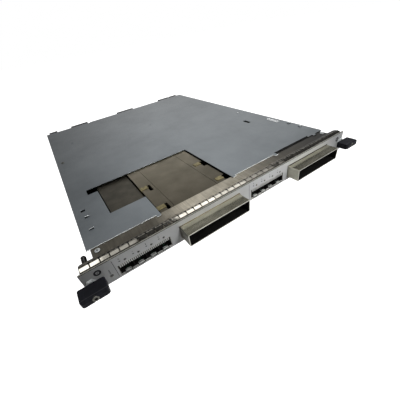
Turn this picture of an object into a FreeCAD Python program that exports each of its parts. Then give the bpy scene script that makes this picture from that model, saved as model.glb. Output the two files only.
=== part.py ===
import FreeCAD, Part
import math
import os
import types

import Sketcher
from FreeCAD import Vector

# Interface module of a network chassis, lying flat: a tray with a cover, a faceplate with two banks of
# small ports and two large bays, and a turn handle on a jackscrew at each end.
# X runs along the faceplate, the faceplate looks along -Y, and Z is up from the surface it lies on.
# Sketches measure Y from the front face of the faceplate, and each piece is then moved by face_y.

# Driving dimensions in millimetres
SIZES = {
    # faceplate
    "plate_width": 433.6,
    "plate_height": 31.75,
    "plate_thick": 2.0,
    "plate_corner": 0.5,
    "front_reach": 22.3,
    "rear_reach": 543.5,
    # tray and cover
    "tray_half": 201.0,
    "tray_sheet": 1.2,
    "tray_bend": 1.7,
    "tray_rear": 528.7,
    "wall_top": 30.5,
    "front_tab_low": 12.5,
    "front_tab_high": 19.4,
    "front_tab_long": 10.8,
    "wall_step": 20.0,
    "wall_step_long": 9.0,
    "wall_gap_low": 9.0,
    "wall_gap_back": 54.0,
    "notch_gap": 0.6,
    "vent_front": 60.0,
    "vent_low": 8.5,
    "vent_long": 12.0,
    "vent_tall": 12.0,
    "vent_pitch": 19.5,
    "vent_count": 23,
    "cover_half": 202.5,
    "cover_sheet": 1.0,
    "cover_front": 28.8,
    "cover_rear": 529.0,
    "cover_lip": 6.5,
    "cover_lip_start": 8.0,
    "cover_notch_left": -95.5,
    "cover_notch_right": -90.0,
    "cover_notch_deep": 8.0,
    "cover_tab_wide": 6.0,
    "cover_tab_long": 3.4,
    "lance_wide": 6.4,
    "lance_rise": 1.2,
    "lance_flat": 1.5,
    "lance_long": 5.0,
    "lance_open": 3.2,
    "lance_skin": 0.5,
    "head_radius": 3.0,
    "head_tall": 0.9,
    # cut-out of the cover
    "cut_left": -162.3,
    "cut_step": -112.7,
    "cut_right": -0.5,
    "cut_back": 158.0,
    "cut_front": 75.5,
    "cut_notch": -176.5,
    "notch_deep": 15.0,
    "recess_left": 89.0,
    "recess_right": 168.0,
    "recess_deep": 3.6,
    # gasket rail and finger gasket
    "rail_half": 214.4,
    "rail_inner_half": 198.9,
    "rail_sheet": 1.0,
    "rail_leg": 25.0,
    "rail_wing": 15.8,
    "rail_back": 30.0,
    "rail_corner": 2.0,
    "rail_bend": 0.5,
    "rail_end_low": 21.0,
    "rail_end_bend": 1.6,
    "finger_front": 4.0,
    "finger_span": 10.4,
    "finger_rise": 2.0,
    "finger_sheet": 0.5,
    "finger_root": 5.2,
    "finger_slit": 0.7,
    "finger_notch": 2.4,
    "notch_back": 3.4,
    "notch_long": 1.6,
    "finger_pitch": 10.44,
    "finger_slits": 40,
    # board
    "board_half": 198.0,
    "board_front": 6.0,
    "board_rear": 525.7,
    "board_base": 2.2,
    "board_thick": 2.0,
    "standoff_flats": 5.5,
    # small ports
    "bank_left": -150.0,
    "bank_right": 40.3,
    "bank_width": 62.0,
    "bank_gap": 0.4,
    "bank_low": 2.9,
    "bank_high": 17.2,
    "cage_front": 0.6,
    "cage_long": 48.4,
    "cage_tall": 10.0,
    "cage_skin": 0.4,
    "cell_width": 14.4,
    "cell_pitch": 15.4,
    "cell_deep": 47.6,
    "cell_count": 4,
    "tongue_width": 8.6,
    "tongue_reach": 1.5,
    "tongue_drop": 1.0,
    "latch_width": 6.4,
    "latch_front": 3.0,
    "latch_long": 6.0,
    "socket_width": 12.8,
    "socket_front": 34.0,
    "socket_long": 13.5,
    "socket_tall": 6.2,
    "socket_rim": 0.8,
    "socket_slot_low": 2.4,
    "socket_slot_tall": 1.6,
    "socket_slot_deep": 6.0,
    "strap_long": 5.0,
    "comb_count": 28,
    "comb_pitch": 2.16,
    "comb_width": 1.35,
    "comb_sheet": 0.4,
    "comb_top": 16.9,
    # lights
    "light_radius": 0.9,
    "light_gap": 0.2,
    "light_shift": 1.3,
    "light_high": 21.5,
    "light_set": 0.1,
    "light_bar_back": 12.0,
    "light_bar_thick": 3.0,
    "light_bar_inset": 3.0,
    "light_bar_over": 1.4,
    "status_x": -190.7,
    "status_z": 9.6,
    "status_radius": 1.5,
    "status_long": 9.0,
    "status_foot": 4.0,
    "status_foot_front": 8.0,
    # large bays
    "bay_left": -57.8,
    "bay_right": 128.2,
    "shroud_half": 46.3,
    "shroud_low": 4.8,
    "shroud_high": 23.3,
    "shroud_reach": 18.8,
    "shroud_side": 1.3,
    "shroud_wall": 1.1,
    "shroud_gap": 0.4,
    "shroud_edge": 0.6,
    "flange_half": 50.5,
    "flange_thick": 2.4,
    "flange_high": 24.8,
    "bay_rear": 159.5,
    "bay_top": 29.4,
    "strip_thick": 1.5,
    "strip_out": 53.6,
    "strip_in": 34.1,
    "guide_in": 44.6,
    "guide_out": 48.6,
    "ledge_in": 30.6,
    "ledge_low": 25.6,
    "plate_seam": 0.25,
    "plate_slab": 2.3,
    "block_half": 29.0,
    "block_low": 22.4,
    "block_front": 30.0,
    "block_rear": 150.0,
    "right_top_front": 42.0,
    "clip_span": 10.4,
    "clip_sheet": 0.6,
    "clip_leg": 3.0,
    "clip_long": 8.0,
    "clip_left": -53.6,
    "clip_right": 39.2,
    "clip_front_y": 41.0,
    "clip_back_y": 98.5,
    "clip_window": 4.8,
    "window_long": 17.0,
    "bay_socket_half": 37.0,
    "bay_socket_front": 144.0,
    "bay_socket_tall": 9.0,
    "bay_slot_rim": 3.0,
    "bay_slot_low": 3.4,
    "bay_slot_tall": 2.6,
    "bay_slot_deep": 9.0,
    # pieces under the cover
    "can_left": -160.8,
    "can_right": -113.0,
    "can_front": 80.0,
    "can_back": 164.5,
    "can_top": 22.0,
    "can_skin": 0.8,
    "chip_half": 22.5,
    "chip_tall": 3.6,
    "sink_half_x": 70.0,
    "sink_half_y": 55.0,
    "sink_slab": 4.0,
    "sink_top": 28.6,
    "fin_thick": 1.2,
    "fin_count": 10,
    "power_left": -196.0,
    "power_right": -138.0,
    "power_front": 405.0,
    "power_back": 466.0,
    "power_tall": 12.7,
    # rear connectors
    "rear_front": 508.0,
    "rear_inner_top": 30.0,
    "rear_top": 31.0,
    "rear_low": 2.2,
    "contact_pitch": 4.0,
    "contact_margin": 3.0,
    "contact_slot": 1.6,
    "contact_low": 5.2,
    "contact_high": 28.0,
    "contact_deep": 4.0,
    # turn handles
    "knob_x": 210.0,
    "knob_width": 27.4,
    "knob_thick": 8.4,
    "knob_back": 4.0,
    "knob_bevel_long": 3.8,
    "knob_bevel_drop": 1.1,
    "knob_corner": 2.4,
    "knob_rim": 0.5,
    "knob_floor": 17.8,
    "knob_slack": 0.02,
    "stud_radius": 3.2,
    "thread_radius": 3.0,
    "thread_front": 8.9,
    "thread_rear": 41.5,
    "thread_chamfer": 1.2,
    "collar_flats": 10.0,
    "collar_front": 7.3,
    "bushing_radius": 4.2,
    "bushing_flats": 9.6,
    "bushing_head": 3.4,
    "bushing_rear": 7.0,
    "nut_flats": 12.0,
    "nut_thick": 3.0,
    "screw_head": 3.5,
    "screw_tall": 4.0,
    "screw_socket": 3.0,
    "screw_socket_deep": 2.2,
    # clearances, and how far joined forms run into each other
    "running_gap": 0.05,
    "sheet_gap": 0.3,
    "lap": 0.2,
    "over": 1.0,
}

doc = FreeCAD.newDocument("interface_module")
sheet = doc.addObject("Spreadsheet::Sheet", "Sizes")
for row, (name, number) in enumerate(SIZES.items(), 1):
    sheet.set(f"A{row}", name)
    sheet.set(f"B{row}", str(number))
    sheet.setAlias(f"B{row}", name)
doc.recompute()


class Measure:
    """A number together with the sheet expression that it comes from."""

    def __init__(self, value, text):
        self.value = value
        self.text = text

    @staticmethod
    def of(other):
        return other if isinstance(other, Measure) else Measure(other, f"({other})")

    def __add__(self, other):
        other = Measure.of(other)
        return Measure(self.value + other.value, f"({self.text} + {other.text})")

    def __sub__(self, other):
        other = Measure.of(other)
        return Measure(self.value - other.value, f"({self.text} - {other.text})")

    def __mul__(self, other):
        other = Measure.of(other)
        return Measure(self.value * other.value, f"({self.text} * {other.text})")

    def __truediv__(self, other):
        other = Measure.of(other)
        return Measure(self.value / other.value, f"({self.text} / {other.text})")

    def __radd__(self, other):
        return Measure.of(other) + self

    def __rsub__(self, other):
        return Measure.of(other) - self

    def __rmul__(self, other):
        return Measure.of(other) * self

    def __neg__(self):
        return Measure(-self.value, f"(-1 * {self.text})")


S = types.SimpleNamespace(**{name: Measure(number, f"Sizes.{name}") for name, number in SIZES.items()})

# Heights and places that several pieces share
FACE_Y = (S.front_reach - S.rear_reach) / 2
COVER_TOP = S.wall_top + S.cover_sheet
BOARD_TOP = S.board_base + S.board_thick
AXIS_Z = S.plate_height / 2
CAGE_ROOF = BOARD_TOP + S.cage_tall
FLANGE_BACK = S.plate_thick + S.flange_thick
BANKS = {"left": S.bank_left, "right": S.bank_right}
BAYS = {"left": S.bay_left, "right": S.bay_right}
SIDES = {"left": -1, "right": 1}
CELLS = [index - (SIZES["cell_count"] - 1) / 2 for index in range(SIZES["cell_count"])]
# Rear connectors: left end and right end along X
REAR_CONNECTORS = {
    "rear_power_connector": (-195.3, -175.5),
    "rear_signal_connector_1": (-139.7, -95.2),
    "rear_signal_connector_2": (-8.2, 41.4),
    "rear_signal_connector_3": (129.0, 165.0),
    "rear_signal_connector_4": (168.6, 192.5),
}
# Screw heads on the cover and on the gasket rail, and standoffs of the board: X and Y of each
COVER_SCREWS = [(-191.4, 300.0), (184.2, 224.0), (14.0, 343.0), (-157.0, 400.0)]
RAIL_SCREWS = [(-192.0, 22.5), (192.0, 22.5)]
STANDOFFS = [(x, y) for y in (66.0, 186.0, 470.0) for x in (-186.0, 2.0, 186.0)]
# Cover: left side of each front tab, left, right, front and back of each slot, front middle of each lance
COVER_TABS = (-118.7, -0.5, 83.0, 177.0)
COVER_SLOTS = ((153.2, 159.8, 157.5, 174.5), (-193.6, -188.0, 105.6, 110.8))
LANCES = ((-189.0, 89.7), (-189.0, 61.3), (196.0, 91.3), (196.0, 66.4))
PROCESSORS = {1: (-95.0, 270.0), 2: (95.0, 270.0)}
# Section of a sprung finger from front to back, as shares of its span and of its rise
FINGER_CURVE = ((0, 0), (0.06, 0.4), (0.47, 1), (1, 0))
# A rounded corner in two chords, as shares of its radius from the sharp corner
CORNER_CHORDS = ((0, 1), (0.29, 0.29), (1, 0))
# Small round forms are equal-sided prisms
HEAD_SIDES = 12
LIGHT_SIDES = 8
BORE_SIDES = 16

pieces = []


# Document helpers


def bind(target, path, measure):
    measure = Measure.of(measure)
    if path.startswith(("Placement", "AttachmentOffset")) or "Sizes." in measure.text:
        target.setExpression(path, measure.text)
    else:
        setattr(target, path, measure.value)


def place(piece, x=0, y=FACE_Y, z=0):
    for axis, measure in zip("xyz", (x, y, z)):
        bind(piece, f"Placement.Base.{axis}", measure)


def start(label, x=0, y=FACE_Y, z=0):
    piece = doc.addObject("PartDesign::Body", label)
    piece.Label = label
    place(piece, x, y, z)
    pieces.append(piece)
    return piece


def origin(piece, role):
    return next(item for item in piece.Origin.OriginFeatures if item.Role == role)


def draw(piece, role, offset=0):
    """A sketch on an origin plane, moved along that plane's normal."""
    flat = piece.newObject("Sketcher::SketchObject", "Sketch")
    flat.AttachmentSupport = (origin(piece, role), [""])
    flat.MapMode = "FlatFace"
    bind(flat, "AttachmentOffset.Base.z", offset)
    return flat


def front_sketch(piece, y=0):
    """A sketch of X and Z on a plane that looks to the front."""
    return draw(piece, "XZ_Plane", 0 - Measure.of(y))


def hold(flat, geometry, vertex, u, v):
    for kind, measure in (("DistanceX", Measure.of(u)), ("DistanceY", Measure.of(v))):
        index = flat.addConstraint(Sketcher.Constraint(kind, -1, 1, geometry, vertex, measure.value))
        if "Sizes." in measure.text:
            flat.setExpression(f"Constraints[{index}]", measure.text)


def outline(flat, points):
    """A closed outline with straight sides, each corner held by its own two measures."""
    points = [(Measure.of(u), Measure.of(v)) for u, v in points]
    corners = [Vector(u.value, v.value, 0) for u, v in points]
    ends = corners[1:] + corners[:1]
    first = flat.GeometryCount
    flat.addGeometry([Part.LineSegment(a, b) for a, b in zip(corners, ends)], False)
    for index, (u, v) in enumerate(points):
        following = first + (index + 1) % len(points)
        flat.addConstraint(Sketcher.Constraint("Coincident", first + index, 2, following, 1))
        hold(flat, first + index, 1, u, v)


def rectangle(flat, left, right, low, high):
    outline(flat, [(left, low), (right, low), (right, high), (left, high)])


def regular(flat, sides, radius, u=0, v=0):
    """An equal-sided outline: radius runs to its corners, and one corner lies on the U axis."""
    turns = [math.tau * index / sides for index in range(sides)]
    outline(flat, [(u + radius * math.cos(turn), v + radius * math.sin(turn)) for turn in turns])


def hexagon(flat, flats):
    regular(flat, 6, flats / math.sqrt(3))


def bore(flat, radius, u=0, v=0):
    """A many-sided hole whose flats lie at the radius, so that a round pin of that size runs free in it."""
    regular(flat, BORE_SIDES, radius / math.cos(math.pi / BORE_SIDES), u, v)


def feature(piece, kind, flat, length, reverse):
    made = piece.newObject("PartDesign::" + kind, kind)
    made.Profile = flat
    made.Reversed = reverse
    bind(made, "Length", length)
    doc.recompute()
    return made


def pad(piece, flat, length, reverse=False):
    return feature(piece, "Pad", flat, length, reverse)


def pocket(piece, flat, length, reverse=False):
    before = piece.Shape.Volume
    made = feature(piece, "Pocket", flat, length, reverse)
    if piece.Shape.Volume >= before:
        raise ValueError(f"{piece.Label}: a pocket cuts nothing")
    return made


def revolve(piece, points):
    """A body turned about the Y axis: points give Y and radius."""
    flat = draw(piece, "XY_Plane")
    outline(flat, [(radius, y) for y, radius in points])
    made = piece.newObject("PartDesign::Revolution", "Revolution")
    made.Profile = flat
    made.ReferenceAxis = (flat, ["V_Axis"])
    made.Angle = 360
    doc.recompute()
    return made


def repeat(piece, original, role, pitch, count):
    pattern = piece.newObject("PartDesign::LinearPattern", "LinearPattern")
    pattern.Originals = [original]
    pattern.Direction = (origin(piece, role), [""])
    bind(pattern, "Length", pitch * (count - 1))
    bind(pattern, "Occurrences", count)
    piece.Tip = pattern
    doc.recompute()


def soften(piece, kind, size, chosen):
    """A fillet or chamfer on the edges of the piece that are chosen."""
    base = piece.Tip
    names = [f"Edge{index}" for index, edge in enumerate(base.Shape.Edges, 1) if chosen(edge)]
    made = piece.newObject("PartDesign::" + kind, kind)
    made.Base = (base, names)
    bind(made, "Radius" if kind == "Fillet" else "Size", size)
    doc.recompute()


def along(edge, axis):
    """Whether a straight edge runs along an axis."""
    if edge.Curve.TypeId != "Part::GeomLine":
        return False
    return abs(edge.Curve.Direction.dot(axis)) > 0.999


def group(label, solid, spots):
    """Equal loose pieces as one node of separate solids, each at its own spot."""
    piece = doc.addObject("Part::Feature", label)
    piece.Label = label
    copies = []
    for spot in spots:
        copy = solid.copy()
        copy.translate(Vector(*spot))
        copies.append(copy)
    piece.Shape = Part.makeCompound(copies)
    place(piece)
    pieces.append(piece)


def prism(sides, radius, low, high):
    turns = [math.tau * index / sides for index in range(sides + 1)]
    ring = [Vector(radius * math.cos(turn), radius * math.sin(turn), low) for turn in turns]
    return Part.Face(Part.makePolygon(ring)).extrude(Vector(0, 0, high - low))


# Sheet-metal case


def carrier_tray():
    piece = start("carrier_tray")
    half, skin, top = S.tray_half, S.tray_sheet, S.wall_top
    section = front_sketch(piece, S.plate_thick)
    outline(section, [(-half, 0), (half, 0), (half, top), (half - skin, top), (half - skin, skin),
                      (skin - half, skin), (skin - half, top), (-half, top)])
    pad(piece, section, S.tray_rear - S.plate_thick, True)
    soften(piece, "Fillet", S.tray_bend,
           lambda edge: along(edge, Vector(0, 1, 0)) and edge.BoundBox.ZMax < SIZES["lap"])
    # The walls step down behind the faceplate and leave a gap beside each jackscrew
    step = draw(piece, "YZ_Plane", half + S.over)
    front, mid, back = S.plate_thick - S.over, S.wall_step_long, S.wall_gap_back
    outline(step, [(front, S.wall_step), (mid, S.wall_step), (mid, S.wall_gap_low), (back, S.wall_gap_low),
                   (back, top + S.over), (front, top + S.over)])
    pocket(piece, step, (half + S.over) * 2)
    # Rear wall with a notch for each connector
    rear = front_sketch(piece, S.tray_rear)
    rectangle(rear, skin - half, half - skin, skin, top)
    pad(piece, rear, skin)
    notches = front_sketch(piece, S.tray_rear - skin * 2)
    for left, right in REAR_CONNECTORS.values():
        rectangle(notches, left - S.notch_gap, right + S.notch_gap, skin, top + S.over)
    pocket(piece, notches, skin * 3)
    # A row of air vents through both side walls
    vents = draw(piece, "YZ_Plane", half + S.over)
    rectangle(vents, S.vent_front, S.vent_front + S.vent_long, S.vent_low, S.vent_low + S.vent_tall)
    cut = pocket(piece, vents, (half + S.over) * 2)
    repeat(piece, cut, "Y_Axis", S.vent_pitch, S.vent_count)
    # Front tabs that meet the back of the faceplate
    tabs = front_sketch(piece, S.plate_thick)
    rectangle(tabs, S.lap - half, S.lap - half + S.front_tab_long, S.front_tab_low, S.front_tab_high)
    rectangle(tabs, half - S.lap - S.front_tab_long, half - S.lap, S.front_tab_low, S.front_tab_high)
    pad(piece, tabs, skin, True)


def top_cover():
    piece = start("top_cover")
    half, skin, top = S.cover_half, S.cover_sheet, COVER_TOP
    section = front_sketch(piece, S.cover_front)
    lip = top - S.cover_lip
    outline(section, [(-half, lip), (skin - half, lip), (skin - half, top - skin), (half - skin, top - skin),
                      (half - skin, lip), (half, lip), (half, top), (-half, top)])
    pad(piece, section, S.cover_rear - S.cover_front, True)
    brow = top.value - SIZES["lap"]
    soften(piece, "Fillet", skin, lambda edge: along(edge, Vector(0, 1, 0)) and edge.BoundBox.ZMin > brow)
    # The side lips start a little behind the front edge
    lips = draw(piece, "YZ_Plane", half + S.over)
    rectangle(lips, S.cover_front - S.over, S.cover_front + S.cover_lip_start, lip - S.over, top - skin)
    pocket(piece, lips, (half + S.over) * 2)
    # L-shaped cut-out open to the front edge, a shallow recess beside it, and a notch at the rear
    cut = draw(piece, "XY_Plane", top + S.over)
    back = S.cut_back - S.notch_deep
    ahead = S.cover_front - S.over
    outline(cut, [(S.cut_right, ahead), (S.cut_right, S.cut_back), (S.cut_notch, S.cut_back),
                  (S.cut_notch, back), (S.cut_left, back), (S.cut_left, S.cut_front),
                  (S.cut_step, S.cut_front), (S.cut_step, ahead)])
    rectangle(cut, S.recess_left, S.recess_right, ahead, S.cover_front + S.recess_deep)
    rear = S.cover_rear - S.cover_notch_deep
    rectangle(cut, S.cover_notch_left, S.cover_notch_right, rear, S.cover_rear + S.over)
    pocket(piece, cut, skin + S.over * 2)
    # Tabs of the front edge, which lie on the gasket rail
    tabs = draw(piece, "XY_Plane", top - skin)
    tip = S.cover_front - S.cover_tab_long
    for left in COVER_TABS:
        rectangle(tabs, left, left + S.cover_tab_wide, tip, S.cover_front + S.lap)
    pad(piece, tabs, skin)
    slots = draw(piece, "XY_Plane", top + S.over)
    for sides in COVER_SLOTS:
        rectangle(slots, *sides)
    pocket(piece, slots, skin + S.over * 2)
    # Lanced bridges, open to the front
    low, high = top - S.lap, top + S.lance_rise
    under, roof = top - skin - S.lap, high - S.lance_skin
    inner = S.lance_wide - S.lance_skin * 2
    for x, y in LANCES:
        bridge = draw(piece, "YZ_Plane", x - S.lance_wide / 2)
        outline(bridge, [(y, low), (y, high), (y + S.lance_flat, high), (y + S.lance_long, low)])
        pad(piece, bridge, S.lance_wide)
        gap = draw(piece, "YZ_Plane", x + inner / 2)
        outline(gap, [(y - S.lap, under), (y - S.lap, roof), (y + S.lance_flat - S.lap, roof),
                      (y + S.lance_open, under)])
        pocket(piece, gap, inner)


def gasket_rail():
    piece = start("gasket_rail")
    top, skin = S.wall_top, S.rail_sheet
    leaf = draw(piece, "XY_Plane", top - skin)
    half, inner = S.rail_half, S.rail_inner_half - S.rail_end_bend
    front, wing, back = S.plate_thick, S.rail_wing, S.rail_back
    corner = S.rail_corner
    right = [(half, front), (half, wing - corner), (half - corner, wing), (inner, wing), (inner, back)]
    outline(leaf, right + [(-x, y) for x, y in right[::-1]])
    pad(piece, leaf, skin)
    leg = front_sketch(piece, front)
    rectangle(leg, -half, half, S.rail_leg, top)
    pad(piece, leg, skin, True)
    # Both ends behind the wings are bent down
    ends = front_sketch(piece, wing)
    bend, tip = S.rail_end_bend, S.rail_inner_half
    section = [(inner - S.lap, top - skin), (inner - S.lap, top)]
    section += [(tip - bend * x, top - bend * y) for x, y in CORNER_CHORDS[::-1]]
    section += [(tip, S.rail_end_low), (tip - skin, S.rail_end_low), (tip - skin, top - bend)]
    section += [(inner, top - skin)]
    outline(ends, section)
    outline(ends, [(-x, z) for x, z in section])
    pad(piece, ends, back - wing, True)
    brow, nose = top.value - SIZES["lap"], front.value + SIZES["lap"]
    soften(piece, "Fillet", S.rail_bend, lambda edge: along(edge, Vector(1, 0, 0))
           and edge.BoundBox.ZMin > brow and edge.BoundBox.YMax < nose)


def finger_gasket():
    piece = start("finger_gasket")
    base, front, skin = S.wall_top, S.finger_front, S.finger_sheet
    back = front + S.finger_span
    flat = draw(piece, "YZ_Plane", -S.rail_half)
    outer = [(front + S.finger_span * y, base + S.finger_rise * z) for y, z in FINGER_CURVE]
    span, rise = S.finger_span - skin * 2, S.finger_rise - skin
    inner = [(front + skin + span * y, base + rise * z) for y, z in FINGER_CURVE]
    outline(flat, outer + inner[::-1])
    pad(piece, flat, S.rail_half * 2)
    # Slits between the fingers from the front, and a window behind the crest of each finger
    over = base + S.finger_rise + S.over
    first = S.finger_pitch * (S.finger_slits - 1) / -2
    thin, wide = S.finger_slit / 2, S.finger_notch / 2
    slits = draw(piece, "XY_Plane", over)
    rectangle(slits, first - thin, first + thin, front - S.over, back - S.finger_root)
    cut = pocket(piece, slits, S.finger_rise + S.over * 2)
    repeat(piece, cut, "X_Axis", S.finger_pitch, S.finger_slits)
    notches = draw(piece, "XY_Plane", over)
    middle = first - S.finger_pitch / 2
    end = back - S.notch_back
    rectangle(notches, middle - wide, middle + wide, end - S.notch_long, end)
    cut = pocket(piece, notches, S.finger_rise + S.over * 2)
    repeat(piece, cut, "X_Axis", S.finger_pitch, S.finger_slits + 1)


def faceplate():
    piece = start("faceplate")
    half = S.plate_width / 2
    front = front_sketch(piece)
    rectangle(front, -half, half, 0, S.plate_height)
    for middle in BANKS.values():
        side = S.bank_width / 2 + S.bank_gap
        rectangle(front, middle - side, middle + side, S.bank_low, S.bank_high)
        for cell in CELLS:
            light = middle + S.cell_pitch * cell + S.light_shift
            regular(front, LIGHT_SIDES, S.light_radius + S.light_gap, light, S.light_high)
    low, high = S.shroud_low - S.shroud_gap, S.shroud_high + S.shroud_gap
    for middle in BAYS.values():
        side = S.shroud_half + S.shroud_gap
        rectangle(front, middle - side, middle + side, low, high)
    for side in (-1, 1):
        bore(front, S.bushing_radius + S.running_gap, S.knob_x * side, AXIS_Z)
    regular(front, LIGHT_SIDES, S.status_radius + S.light_gap, S.status_x, S.status_z)
    pad(piece, front, S.plate_thick, True)
    corner = half.value - SIZES["lap"]
    soften(piece, "Chamfer", S.plate_corner,
           lambda edge: along(edge, Vector(0, 1, 0)) and abs(edge.BoundBox.XMin) > corner)


# Board and what stands on it


def main_board():
    piece = start("main_board")
    flat = draw(piece, "XY_Plane", S.board_base)
    rectangle(flat, -S.board_half, S.board_half, S.board_front, S.board_rear)
    pad(piece, flat, S.board_thick)


def fasteners():
    standoff = prism(6, SIZES["standoff_flats"] / math.sqrt(3), SIZES["tray_sheet"], SIZES["board_base"])
    group("board_standoffs", standoff, [(x, y, 0) for x, y in STANDOFFS])
    head = prism(HEAD_SIDES, SIZES["head_radius"], 0, SIZES["head_tall"])
    group("cover_screws", head, [(x, y, COVER_TOP.value) for x, y in COVER_SCREWS])
    group("rail_screws", head, [(x, y, SIZES["wall_top"]) for x, y in RAIL_SCREWS])


def small_port_cage(side, middle):
    piece = start(f"small_port_cage_{side}")
    half = S.bank_width / 2
    block = front_sketch(piece, S.cage_front)
    rectangle(block, middle - half, middle + half, BOARD_TOP, CAGE_ROOF)
    pad(piece, block, S.cage_long, True)
    cells = front_sketch(piece, S.cage_front)
    floor = BOARD_TOP + S.cage_skin
    below = draw(piece, "XY_Plane", floor + S.over)
    well, latch = S.socket_width / 2 + S.sheet_gap, S.latch_width / 2
    well_front, well_back = S.socket_front - S.sheet_gap, S.cage_front + S.cell_deep
    for cell in CELLS:
        centre = middle + S.cell_pitch * cell
        rectangle(cells, centre - S.cell_width / 2, centre + S.cell_width / 2, floor, CAGE_ROOF - S.cage_skin)
        rectangle(below, centre - well, centre + well, well_front, well_back)
        outline(below, [(centre - latch, S.latch_front), (centre + latch, S.latch_front),
                        (centre, S.latch_front + S.latch_long)])
    pocket(piece, cells, S.cell_deep)
    pocket(piece, below, S.cage_skin + S.over * 2)
    # Latch tongue of each port, bent down in front of the mouth
    tongues = draw(piece, "YZ_Plane", middle + S.cell_pitch * CELLS[0] - S.tongue_width / 2)
    root, nose = S.cage_front + S.lap, S.cage_front - S.tongue_reach
    outline(tongues, [(root, BOARD_TOP), (root, floor), (S.cage_front, floor), (nose, floor - S.tongue_drop),
                      (nose, BOARD_TOP - S.tongue_drop)])
    tongue = pad(piece, tongues, S.tongue_width)
    repeat(piece, tongue, "X_Axis", S.cell_pitch, S.cell_count)


def small_port_gasket(side, middle):
    piece = start(f"small_port_gasket_{side}")
    half = S.bank_width / 2 - S.bank_gap
    front = S.cage_front + S.sheet_gap
    strap = draw(piece, "XY_Plane", CAGE_ROOF)
    rectangle(strap, middle - half, middle + half, front, front + S.strap_long)
    pad(piece, strap, S.comb_sheet)
    comb = front_sketch(piece, front + S.lap)
    first = middle - S.comb_pitch * (S.comb_count - 1) / 2
    rectangle(comb, first - S.comb_width / 2, first + S.comb_width / 2, CAGE_ROOF, S.comb_top)
    finger = pad(piece, comb, S.comb_sheet)
    repeat(piece, finger, "X_Axis", S.comb_pitch, S.comb_count)


def small_port_socket(number, centre):
    piece = start(f"small_port_socket_{number}")
    half = S.socket_width / 2
    block = front_sketch(piece, S.socket_front)
    rectangle(block, centre - half, centre + half, BOARD_TOP, BOARD_TOP + S.socket_tall)
    pad(piece, block, S.socket_long, True)
    slot = front_sketch(piece, S.socket_front)
    side = half - S.socket_rim
    low = BOARD_TOP + S.socket_slot_low
    rectangle(slot, centre - side, centre + side, low, low + S.socket_slot_tall)
    pocket(piece, slot, S.socket_slot_deep)


def light_pipe_bar(side, middle):
    piece = start(f"light_pipe_bar_{side}")
    bar_front = S.light_bar_back - S.light_bar_thick
    bar = front_sketch(piece, bar_front)
    half = S.bank_width / 2 - S.light_bar_inset
    rectangle(bar, middle - half, middle + half, CAGE_ROOF, S.light_high + S.light_bar_over)
    pad(piece, bar, S.light_bar_thick, True)
    pipes = front_sketch(piece, S.light_set)
    for cell in CELLS:
        light = middle + S.cell_pitch * cell + S.light_shift
        regular(pipes, LIGHT_SIDES, S.light_radius, light, S.light_high)
    pad(piece, pipes, bar_front + S.lap, True)


def status_light_pipe():
    piece = start("status_light_pipe")
    pipe = front_sketch(piece, S.light_set)
    regular(pipe, LIGHT_SIDES, S.status_radius, S.status_x, S.status_z)
    pad(piece, pipe, S.status_long, True)
    foot = front_sketch(piece, S.status_foot_front)
    half = S.status_foot / 2
    rectangle(foot, S.status_x - half, S.status_x + half, BOARD_TOP, S.status_z + half)
    pad(piece, foot, S.status_foot, True)


# Large bays


def bay_shroud(side, middle):
    piece = start(f"{side}_bay_shroud")
    half = S.shroud_half
    tube = front_sketch(piece, -S.shroud_reach)
    rectangle(tube, middle - half, middle + half, S.shroud_low, S.shroud_high)
    pad(piece, tube, S.shroud_reach + FLANGE_BACK, True)
    soften(piece, "Chamfer", S.shroud_edge, lambda edge: along(edge, Vector(0, 1, 0)))
    flange = front_sketch(piece, S.plate_thick)
    rectangle(flange, middle - S.flange_half, middle + S.flange_half, BOARD_TOP, S.flange_high)
    pad(piece, flange, S.flange_thick, True)
    mouth = front_sketch(piece, -S.shroud_reach)
    inner, wall = half - S.shroud_side, S.shroud_wall
    rectangle(mouth, middle - inner, middle + inner, S.shroud_low + wall, S.shroud_high - wall)
    pocket(piece, mouth, S.shroud_reach + FLANGE_BACK)


def bay_rail(side, name, middle, hand):
    """A guide with a flat top strip. Hand is -1 for the rail on the left of its bay, 1 on the right."""
    piece = start(f"{side}_bay_{name}_rail")
    top, strip = S.bay_top, S.bay_top - S.strip_thick
    seat = S.bay_top - S.plate_slab
    section = front_sketch(piece, FLANGE_BACK)
    points = [(S.guide_in, BOARD_TOP), (S.guide_out, BOARD_TOP), (S.guide_out, strip), (S.strip_out, strip),
              (S.strip_out, top), (S.strip_in, top), (S.strip_in, seat), (S.ledge_in, seat),
              (S.ledge_in, S.ledge_low), (S.guide_in, S.ledge_low)]
    outline(section, [(middle + x * hand, z) for x, z in points])
    pad(piece, section, S.bay_rear - FLANGE_BACK, True)
    # Windows for the clips' legs
    windows = draw(piece, "XY_Plane", top + S.over)
    near = middle + (S.clip_left if hand < 0 else S.clip_right)
    far = near + S.clip_span
    edge = far + S.clip_window if hand < 0 else middle + S.strip_out + S.over
    for centre in (S.clip_front_y, S.clip_back_y):
        back = centre + S.clip_long / 2 + S.sheet_gap
        rectangle(windows, far, edge, back - S.window_long, back)
        if hand > 0:
            front = back - S.clip_long - S.sheet_gap * 2
            rectangle(windows, near - S.clip_sheet - S.sheet_gap, near, front, back)
    pocket(piece, windows, S.plate_slab + S.over * 4)
    if side == "right":
        # The front of the right bay stays low under the cover's recess
        low = draw(piece, "XY_Plane", top + S.over)
        reach = [middle + (S.strip_out + S.over) * hand, middle + (S.ledge_in - S.over) * hand]
        reach.sort(key=lambda measure: measure.value)
        rectangle(low, reach[0], reach[1], FLANGE_BACK - S.over, S.right_top_front)
        pocket(piece, low, top + S.over - S.ledge_low)


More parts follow.
